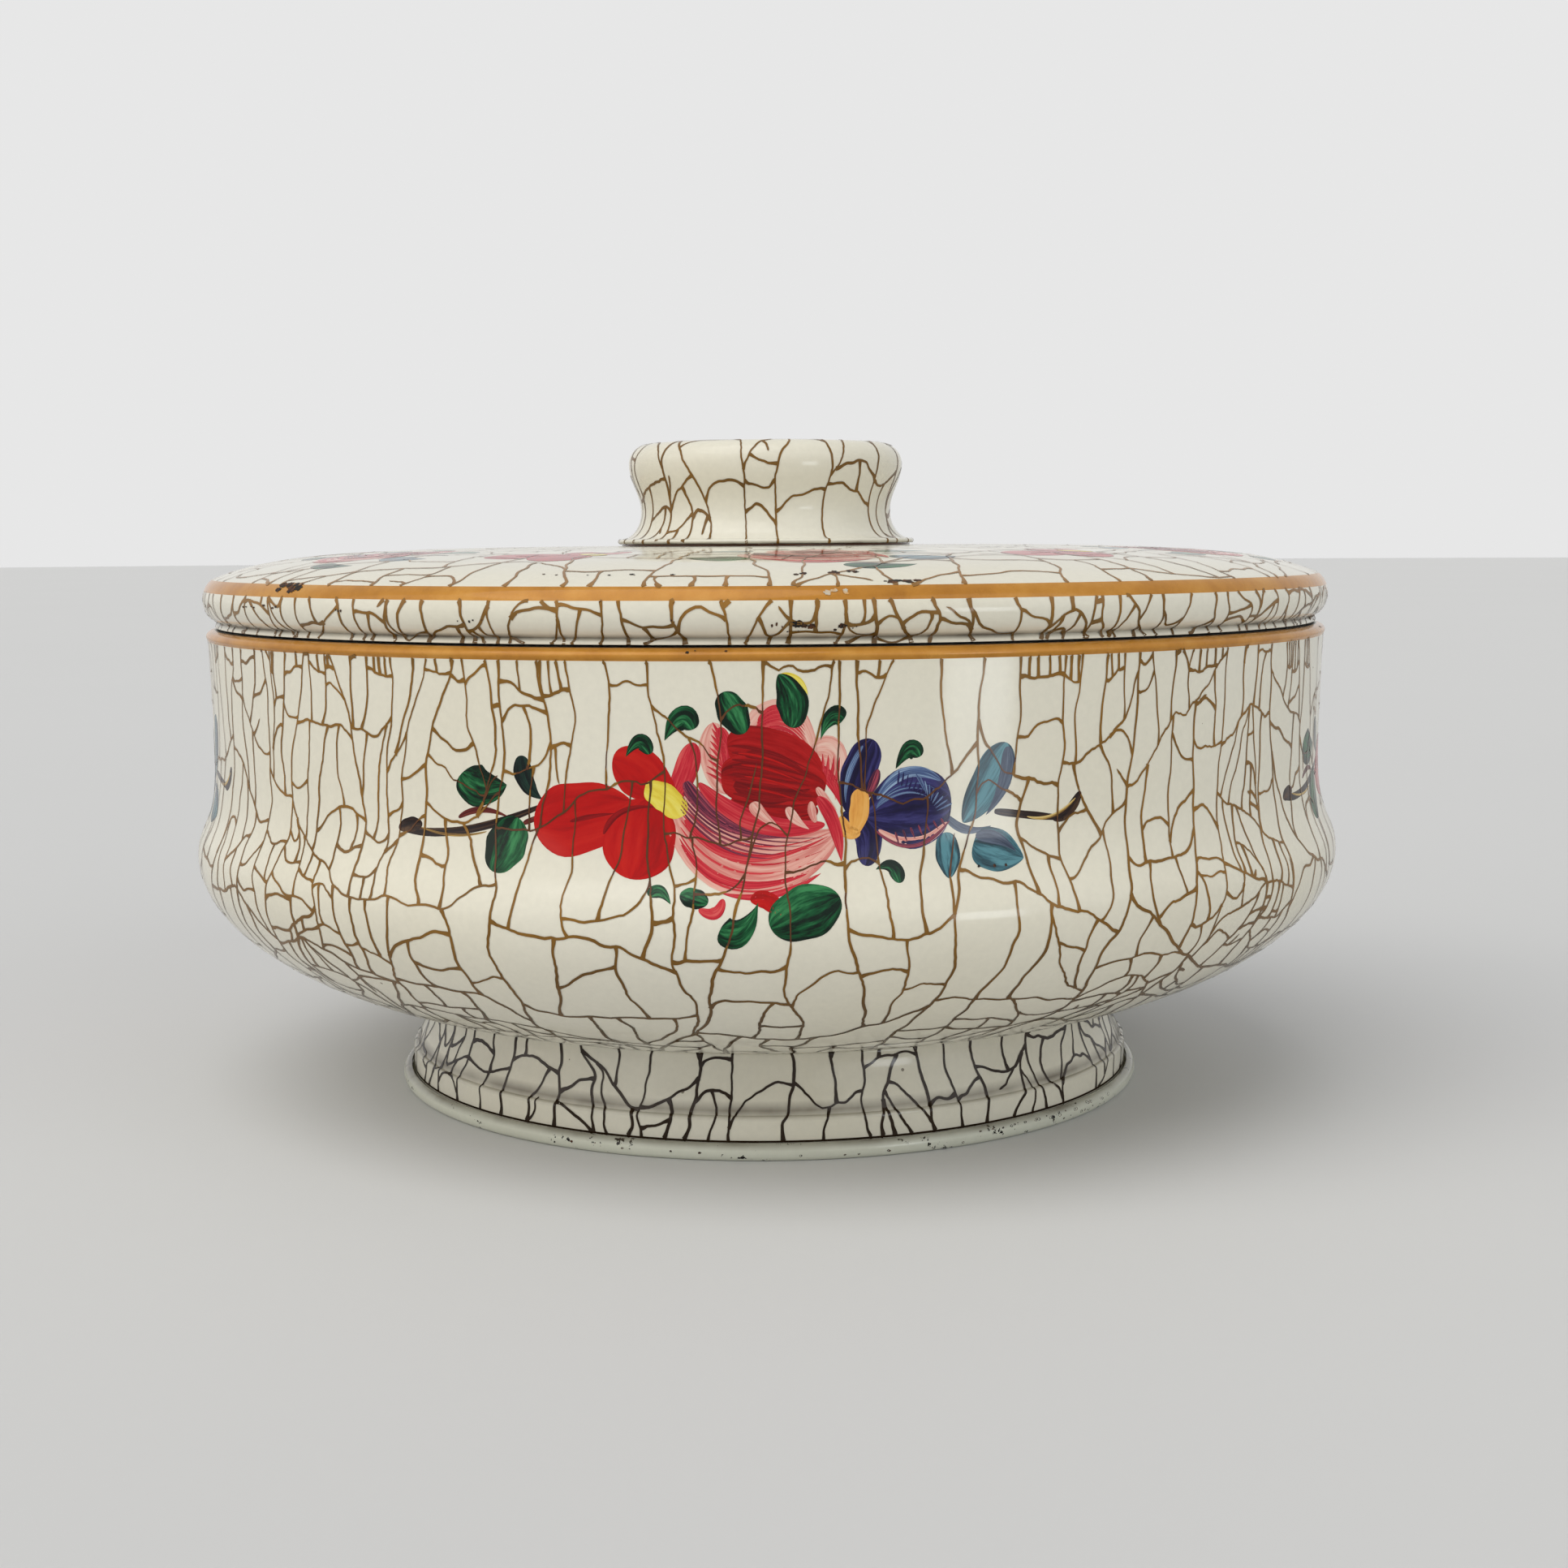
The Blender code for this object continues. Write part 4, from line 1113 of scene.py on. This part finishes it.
def crackle_print():
    """Ochre-brown crackle ink: nearly black low on the tin, golden on the lid's rim, with painted shade
    at the lid's crease.
    """
    made, tree, shader = new_material("crackle_ink")
    share = maths(tree, 'DIVIDE', height_in(tree), KNOB_LEVEL)
    ink = ramp(tree, share, *((level / KNOB_LEVEL, colour) for level, colour in INK_BY_HEIGHT))
    uneven = ramp(tree, cloud(tree, 90, 4), (0.3, 0.6), (0.7, 1))
    connect(tree, shader, Base_Color=mixed(tree, 1, ink, uneven, 'MULTIPLY'), Roughness=0.3, **VARNISH)
    return made


def tinplate(name, dull=0.3):
    """Bare tinplate, with fine marks round the axis from drawing and cloudy dull patches."""
    made, tree, shader = new_material(name)
    place = node(tree, "ShaderNodeSeparateXYZ", Vector=places_in(tree)).outputs
    flat = node(tree, "ShaderNodeCombineXYZ", X=place[0], Y=place[1])
    reach = node(tree, "ShaderNodeVectorMath", _0=flat.outputs[0])
    reach.operation = 'LENGTH'
    lines = node(tree, "ShaderNodeCombineXYZ", X=maths(tree, 'MULTIPLY', reach.outputs["Value"], 900),
                 Y=maths(tree, 'MULTIPLY', place[2], 900))
    marks = cloud(tree, 1, 4, 0.6, lines.outputs[0])
    patches = cloud(tree, 28, 5, 0.6)
    rough = maths(tree, 'MULTIPLY_ADD', marks, 0.16, maths(tree, 'MULTIPLY_ADD', patches, 0.2, 0.14))
    connect(tree, shader, Metallic=1, Roughness=rough, Normal=bumped(tree, marks, 0.01 * MM, 0.3),
            Base_Color=mixed(tree, maths(tree, 'MULTIPLY', patches, dull * 2), TIN, TIN_DULL))
    return made


def covered_ink():
    """The crackle's ink where it lies under the flowers' paint, which darkens it."""
    light = tuple(1.7 * share for share in COVERED_INK)
    return mottled("crackle_ink_in_flowers", 200, 3, ((0.3, COVERED_INK), (0.7, light)),
                   Roughness=0.3, **VARNISH)


def worn_gold():
    """Pale undercoat where the gold band has rubbed off."""
    return mottled("worn_gold", 700, 4, ((0.35, OCHRE_LIGHT), (0.55, UNDERCOAT)), Roughness=0.45)


def bare_spot():
    """Dark metal and rust where a chip has come off."""
    return mottled("bare_spot", 900, 3, ((0.45, BARE), (0.7, RUST)), Roughness=0.6,
                   Specular_IOR_Level=0.15)


def brush_paint(name, dark, main, light, streaks, edge, contrast):
    """Paint in streaks along a stroke, running lighter or darker towards its edges."""
    made, tree, shader = new_material(name)
    stroke = tree.nodes.new("ShaderNodeUVMap")
    stroke.uv_map = "stroke"
    brush = tree.nodes.new("ShaderNodeAttribute")
    brush.attribute_name = "brush"
    place = node(tree, "ShaderNodeSeparateXYZ", Vector=stroke.outputs[0]).outputs
    vector = node(tree, "ShaderNodeCombineXYZ", X=maths(tree, 'MULTIPLY', place[0], streaks),
                  Y=maths(tree, 'MULTIPLY', place[1], 1.6),
                  Z=maths(tree, 'MULTIPLY', brush.outputs["Fac"], 60)).outputs[0]

    def swing(scale, detail, roughness, reach, level):
        noise = cloud(tree, scale, detail, roughness, vector)
        return maths(tree, 'MULTIPLY_ADD', maths(tree, 'SUBTRACT', noise, 0.5), reach, level)

    from_middle = maths(tree, 'ABSOLUTE', maths(tree, 'MULTIPLY_ADD', place[0], 2, -1))
    rim = maths(tree, 'MULTIPLY', maths(tree, 'POWER', from_middle, 2), edge)
    tone = maths(tree, 'ADD', swing(1, 4, 0.62, contrast, 0.5), swing(0.3, 1, 0.5, contrast * 0.6, rim))
    connect(tree, shader, Base_Color=ramp(tree, tone, (0.28, dark), (0.5, main), (0.78, light)),
            Roughness=0.28, **VARNISH)
    return made


def flower_paints():
    """The flowers' paints, by the names used in the stroke tables."""
    rows = (
        # name, dark, main and light colours, streaks, how much lighter at the edges, contrast
        ("red", (0.30, 0.003, 0.003), (0.46, 0.004, 0.004), (0.55, 0.014, 0.008), 7, 0.0, 0.9),
        ("blood", (0.12, 0.001, 0.003), (0.22, 0.003, 0.004), (0.34, 0.006, 0.008), 7, 0.0, 1.0),
        ("deep_red", (0.15, 0.002, 0.003), (0.32, 0.003, 0.004), (0.47, 0.010, 0.010), 8, 0.0, 1.2),
        ("crimson", (0.38, 0.008, 0.020), (0.55, 0.022, 0.038), (0.68, 0.110, 0.100), 7, 0.0, 1.2),
        ("pale_pink", (0.60, 0.19, 0.16), (0.74, 0.38, 0.31), (0.80, 0.56, 0.46), 10, 0.0, 1.3),
        ("plum", (0.040, 0.008, 0.030), (0.105, 0.020, 0.045), (0.38, 0.06, 0.09), 10, 0.06, 2.0),
        ("yellow", (0.66, 0.48, 0.04), (0.76, 0.63, 0.08), (0.80, 0.71, 0.18), 5, 0.0, 1.0),
        ("orange", (0.66, 0.27, 0.05), (0.76, 0.37, 0.08), (0.80, 0.46, 0.14), 5, 0.0, 1.0),
        ("violet", (0.006, 0.004, 0.026), (0.012, 0.009, 0.058), (0.050, 0.046, 0.18), 9, 0.02, 1.3),
        ("steel", (0.030, 0.045, 0.13), (0.08, 0.13, 0.27), (0.27, 0.38, 0.53), 8, 0.0, 1.7),
        ("teal", (0.008, 0.032, 0.045), (0.028, 0.105, 0.135), (0.085, 0.24, 0.28), 8, -0.14, 1.8),
        ("slate", (0.020, 0.030, 0.060), (0.055, 0.075, 0.120), (0.12, 0.16, 0.22), 6, 0.0, 1.2),
        ("leaf", (0.001, 0.011, 0.005), (0.004, 0.076, 0.024), (0.038, 0.22, 0.075), 7, -0.22, 1.7),
        ("dark_leaf", (0.002, 0.004, 0.005), (0.004, 0.010, 0.009), (0.012, 0.045, 0.030), 6, 0.0, 1.3),
        ("stem", (0.008, 0.004, 0.004), (0.022, 0.010, 0.008), (0.09, 0.045, 0.020), 4, 0.0, 1.2),
        ("twig", (0.050, 0.006, 0.006), (0.11, 0.014, 0.012), (0.22, 0.05, 0.03), 4, 0.0, 1.2),
        ("gilt", (0.16, 0.08, 0.02), (0.42, 0.26, 0.06), (0.66, 0.48, 0.18), 3, 0.0, 2.6),
    )
    return {row[0]: brush_paint(*row) for row in rows}


def stage_paint(colour):
    """Plain matt floor, with a faint mottle."""
    darker = tuple(0.985 * share for share in colour)
    return mottled("studio_floor", 3, 2, ((0.2, darker), (0.8, colour)), Roughness=0.7)


# The tin

def behind_flowers(place):
    """1 behind the middle of each spray, down to 0 half-way between the sprays."""
    turn = math.atan2(place.imag, place.real) - FRONT
    return (0.5 + 0.5 * math.cos(SPRAYS * turn)) ** SPRAY_FALLOFF


def bowl_cells(edge):
    """How large the bowl's cells are at a place on the flat sheet, and how much longer than wide."""
    shares, between, behind = zip(*CELL_SIZES)

    def size_of(place):
        share = abs(place) / edge
        low, high = np.interp(share, shares, between), np.interp(share, shares, behind)
        return (low + (high - low) * behind_flowers(place)) * MM

    def pull_of(place):
        climb = max(0, abs(place) / edge - WALL_START_SHARE) / (1 - WALL_START_SHARE)
        return (1 + (WALL_PULL - 1) * min(1, climb * 2)) * (1 + SPRAY_PULL * behind_flowers(place))

    return size_of, pull_of


def blank_at(sheet, *runs):
    """Distance from the middle of the flat sheet, at each run."""
    return [float(value) for value in np.interp(runs, sheet.run, sheet.blank)]


def dark_ring(name, radius, low, high, finish):
    """A thin dark ring round the axis between two heights, such as in the narrow gap between two sheets
    that touch.
    """
    shape = bmesh.new()
    add_grid(shape, turned((radius, radius), (low, high), RING_STEPS), [0], (False, True))
    return piece_from(name, shape, [finish])


def build_bowl(gold, inks, tin, bare, paints):
    """Bowl shell, its crackle and its flower sprays."""
    rough = Sheet(bowl_profile(), BOWL_LEVEL)
    top = rough.run[np.argmax(rough.height)]
    bulge = rough.run[np.argmax(rough.radius)]
    band = [rough.run_at(height, bulge, top - NECK_RISE / 2) for height in BOWL_BAND]
    sheet = Sheet(bowl_profile(), BOWL_LEVEL, band)
    shell = sheet.shell("bowl_tinplate", RING_STEPS, [lacquer("bowl_lacquer"), gold, tin], (0, 1, 2))
    edge, = blank_at(sheet, sheet.run_at(COMB_HEIGHT, bulge, band[1]))
    lines = crackle_lines(0, edge + 4 * MM, *bowl_cells(edge), seed=11, comb_edge=edge,
                          lean=BOWL_LEAN)
    run = sheet.run_at(SPRAY_HEIGHT, bulge, band[0])
    placings = [(SPRAY, FRONT + index * math.tau / SPRAYS, run, 1.0, 1, 0) for index in range(SPRAYS)]
    net = crackle("bowl_crackle", sheet, lines, BOWL_LINE, inks, (0, band[0]), seed=21,
                  widening=BOWL_WIDENING, covered=under_strokes(sheet, placings))
    flowers = painted("bowl_flowers", sheet, placings, paints, seed=5)
    worn = chips("bowl_chips", sheet, BOWL_WEAR, (bulge, sheet.run[-1]), CHIP_DEPTH, bare, seed=7)
    return [shell, net, flowers, worn]


def build_foot(inks, bare):
    """Foot ring and its crackle. The sheet's reverse, which shows on the curl, is plain lacquer."""
    ink = inks[0]
    sheet = Sheet(foot_profile(), 0)
    # painted shade in the hollow above the foot's ledge
    finishes = [lacquer("foot_lacquer", LEDGE_HEIGHT + LEDGE_WIDTH, LEDGE_SHADE_REACH),
                # the curl is darker near its top
                lacquer("foot_curl_lacquer", *CURL_DARKENING, CURL_WEAR_SHARE, CURL_CREAM, AGED_CURL_CREAM)]
    shell = sheet.shell("foot_tinplate", RING_STEPS, finishes)
    curl = sheet.run_at(CURL_TOP, sheet.run[2 * TIGHT_FACETS], sheet.run[np.argmax(sheet.radius)])
    first, last = blank_at(sheet, 0, curl)
    lines = crackle_lines(first, last + 3 * MM, lambda place: FOOT_CELL, lambda place: FOOT_PULL,
                          seed=31, sectors=24, lean=FOOT_LEAN)
    net = crackle("foot_crackle", sheet, lines, FOOT_LINE, [ink], (0, curl), seed=41, step=0.4 * MM)
    lowest, highest = (sheet.run[-3 * TIGHT_FACETS:][end(sheet.height[-3 * TIGHT_FACETS:])]
                       for end in (np.argmin, np.argmax))
    worn = chips("foot_chips", sheet, CURL_WEAR, (lowest, highest), SHEET + CRACKLE_DEPTH, bare,
                 seed=9)
    # a dark band on the foot's band, just above the curl
    corner = dark_ring("foot_corner_dark_band", FOOT_TOP_RADIUS + FOOT_FLARE + LEDGE_WIDTH, *CORNER_DARK_BAND, ink)
    # painted shadow in the gap where the foot meets the bowl
    joint = dark_ring("foot_joint_shadow", BOTTOM_RADIUS - JOINT_INSET, FOOT_HEIGHT, BOWL_LEVEL, ink)
    return [shell, net, worn, corner, joint]


def build_lid(gold, inks, tin, bare, paints):
    """Lid shell, its crackle and its wreath of flowers."""
    middle = LID_LEVEL + skirt_centre()[1]
    rough = Sheet(lid_profile(), LID_LEVEL)
    widest = rough.run[np.argmax(rough.radius)]
    band = [rough.run_at(middle + SKIRT_HALF_HEIGHT * math.sin(math.radians(angle)), 0, widest)
            for angle in LID_BAND_ANGLES]
    sheet = Sheet(lid_profile(), LID_LEVEL, band)
    # painted shade in the crease above the lid's hem
    finishes = [lacquer("lid_lacquer", LID_LEVEL + HEM_HEIGHT), gold, tin]
    shell = sheet.shell("lid_tinplate", RING_STEPS, finishes, (0, 1, 0))
    edges = blank_at(sheet, *band, sheet.run[-1])
    top_lines = crackle_lines(0, edges[0] + 3 * MM,
                              lambda place: LID_CELL - LID_CELL_SHRINK * abs(place),
                              lambda place: 1, seed=51)
    skirt_lines = crackle_lines(edges[1] - 2 * MM, edges[2] + 2 * MM, lambda place: SKIRT_CELL,
                                lambda place: SKIRT_PULL, seed=61, sectors=54, lean=SKIRT_LEAN)
    dome = slice(2 * WIDE_FACETS)
    run = float(np.interp(WREATH_RADIUS, sheet.radius[dome], sheet.run[dome]))
    pitch = math.tau / WREATH_ROSES
    start = FRONT + WREATH_TURN
    placings = [(WREATH_ROSE, start + index * pitch, run, WREATH_SCALE, -1, 0)
                for index in range(WREATH_ROSES)]
    placings += [(RED_FLOWER, start + (index + 0.5) * pitch, run, WREATH_SCALE, -1, WREATH_FLOWER_TURN)
                 for index in range(WREATH_ROSES)]
    top_net = crackle("lid_top_crackle", sheet, top_lines, LID_LINE, inks, (0, band[0]), seed=71,
                      foot=LID_FLARE, covered=under_strokes(sheet, placings))
    skirt_net = crackle("lid_skirt_crackle", sheet, skirt_lines, SKIRT_LINE, inks[:1],
                        (band[1], sheet.run[-1]), seed=81)
    wreath = painted("lid_wreath", sheet, placings, paints, seed=6)
    whole = (0, sheet.run[-1])
    rubbed = chips("lid_rubbed_gold", sheet, GOLD_WEAR, whole, CRACKLE_DEPTH, worn_gold(), seed=10)
    worn = chips("lid_chips", sheet, LID_WEAR, whole, CHIP_DEPTH, bare, seed=8)
    return [shell, top_net, skirt_net, wreath, rubbed, worn]


def build_knob(inks, tin):
    """Knob shell and its crackle."""
    sheet = Sheet(knob_profile(), KNOB_LEVEL)
    # painted shade on the knob's flange, whose edge curls under
    shell = sheet.shell("knob_tinplate", KNOB_STEPS, [lacquer("knob_lacquer", KNOB_LEVEL), tin])
    widest = float(sheet.run[np.argmax(sheet.radius)])
    edge, = blank_at(sheet, widest)
    lines = crackle_lines(0, edge + MM, lambda place: KNOB_CELL, lambda place: KNOB_PULL, seed=91)
    net = crackle("knob_crackle", sheet, lines, KNOB_LINE, inks[:1], (0, widest + 0.6 * MM), seed=92,
                  step=0.3 * MM)
    # painted shadow in the gap under the knob's flange
    joint = dark_ring("knob_joint_shadow", KNOB_FLANGE_RADIUS - KNOB_JOINT_INSET, KNOB_LEVEL - SEAT_GAP,
                 KNOB_LEVEL, inks[1])
    return [shell, net, joint]


FLOOR_COLOUR = (0.66, 0.66, 0.655)
SKY_COLOUR = (0.80, 0.80, 0.80)
SKY_LIGHT = (0.42, 0.425, 0.43)
SUN_ANGLE = 55                # degrees across, for soft shadows
FLOOR_RADIUS = 9
PHOTO_SIDE, FOCAL_LENGTH = 1932, 2700     # pixels
EYE = (3.26 * MM, -433.7 * MM, 105.2 * MM)
EYE_TILT, EYE_ROLL = math.radians(6.45), 0.0065


def add_stage():
    """Floor, lights, world and the camera at the photograph's place."""
    bpy.ops.mesh.primitive_circle_add(vertices=96, radius=FLOOR_RADIUS, fill_type='NGON')
    floor = bpy.context.object
    floor.name = "studio_floor"
    floor.data.materials.append(stage_paint(FLOOR_COLOUR))

    def lamp(name, kind, place, aim, power, colour):
        light = bpy.data.lights.new(name, kind)
        light.energy = power
        light.color = colour
        made = bpy.data.objects.new(name, light)
        made.location = place
        made.rotation_euler = (Vector((0, 0, aim)) - Vector(place)).to_track_quat('-Z', 'Y').to_euler()
        made.visible_camera = False
        bpy.context.scene.collection.objects.link(made)
        return made

    window = lamp("window_right", 'AREA', (0.33, -0.44, 0.052), 0.052, 0.26, (0.90, 0.95, 1.0))
    window.visible_diffuse = False
    window.data.shape = 'RECTANGLE'
    window.data.size, window.data.size_y = 0.12, 0.09
    soft_suns = (
        # name, from where, strength, colour
        ("sky_light", (-0.55, -0.75, 1.6), 1.33, (1.0, 0.99, 0.97)),
        ("fill_left", (-1.1, -0.5, 0.45), 0.62, (1.0, 0.95, 0.88)),
        ("fill_right", (0.9, -0.9, 0.5), 0.64, (0.95, 0.98, 1.0)),
    )
    for name, place, strength, colour in soft_suns:
        sun = lamp(name, 'SUN', place, 0.06, strength, colour)
        sun.data.angle = math.radians(SUN_ANGLE)

    world = bpy.data.worlds.new("studio")
    bpy.context.scene.world = world
    world.use_nodes = True
    tree = world.node_tree
    path = tree.nodes.new("ShaderNodeLightPath")
    seen = maths(tree, 'MAXIMUM', path.outputs["Is Camera Ray"], path.outputs["Is Glossy Ray"])
    seen = maths(tree, 'MAXIMUM', seen, path.outputs["Is Transmission Ray"])
    connect(tree, tree.nodes["Background"], Color=mixed(tree, seen, SKY_LIGHT, SKY_COLOUR))

    camera = bpy.data.cameras.new("photo_camera")
    camera.sensor_width = 36
    camera.lens = camera.sensor_width * FOCAL_LENGTH / PHOTO_SIDE
    eye = bpy.data.objects.new("photo_camera", camera)
    eye.location = EYE
    look = Matrix.Rotation(math.pi / 2 - EYE_TILT, 4, 'X') @ Matrix.Rotation(-EYE_ROLL, 4, 'Z')
    eye.rotation_euler = look.to_euler()
    bpy.context.scene.collection.objects.link(eye)
    bpy.context.scene.camera = eye
    bpy.context.scene.view_settings.view_transform = 'Standard'


def dress(pieces, body, node_name):
    """Let pieces ride on a body, the first in place of its CAD node."""
    for piece in pieces:
        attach(piece, body)
    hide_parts(node_name)


gold_ink = gold_print()
crackle_inks = [crackle_print(), covered_ink()]
inside_tin = tinplate("inside_tinplate")
paint_set = flower_paints()
bare_metal = bare_spot()

dress(build_bowl(gold_ink, crackle_inks, inside_tin, bare_metal, paint_set), "tin", "bowl_shell")
dress(build_foot(crackle_inks, bare_metal), "tin", "foot_ring")
dress(build_lid(gold_ink, crackle_inks, inside_tin, bare_metal, paint_set), "lid", "lid_shell")
dress(build_knob(crackle_inks, inside_tin), "lid", "knob_shell")

for node_name, dull in (("knob_base_disc", 0.4), ("knob_washer", 0.3), ("knob_rivet", 0.2)):
    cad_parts[node_name].data.materials.clear()
    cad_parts[node_name].data.materials.append(tinplate(node_name + "_tin", dull))

add_stage()
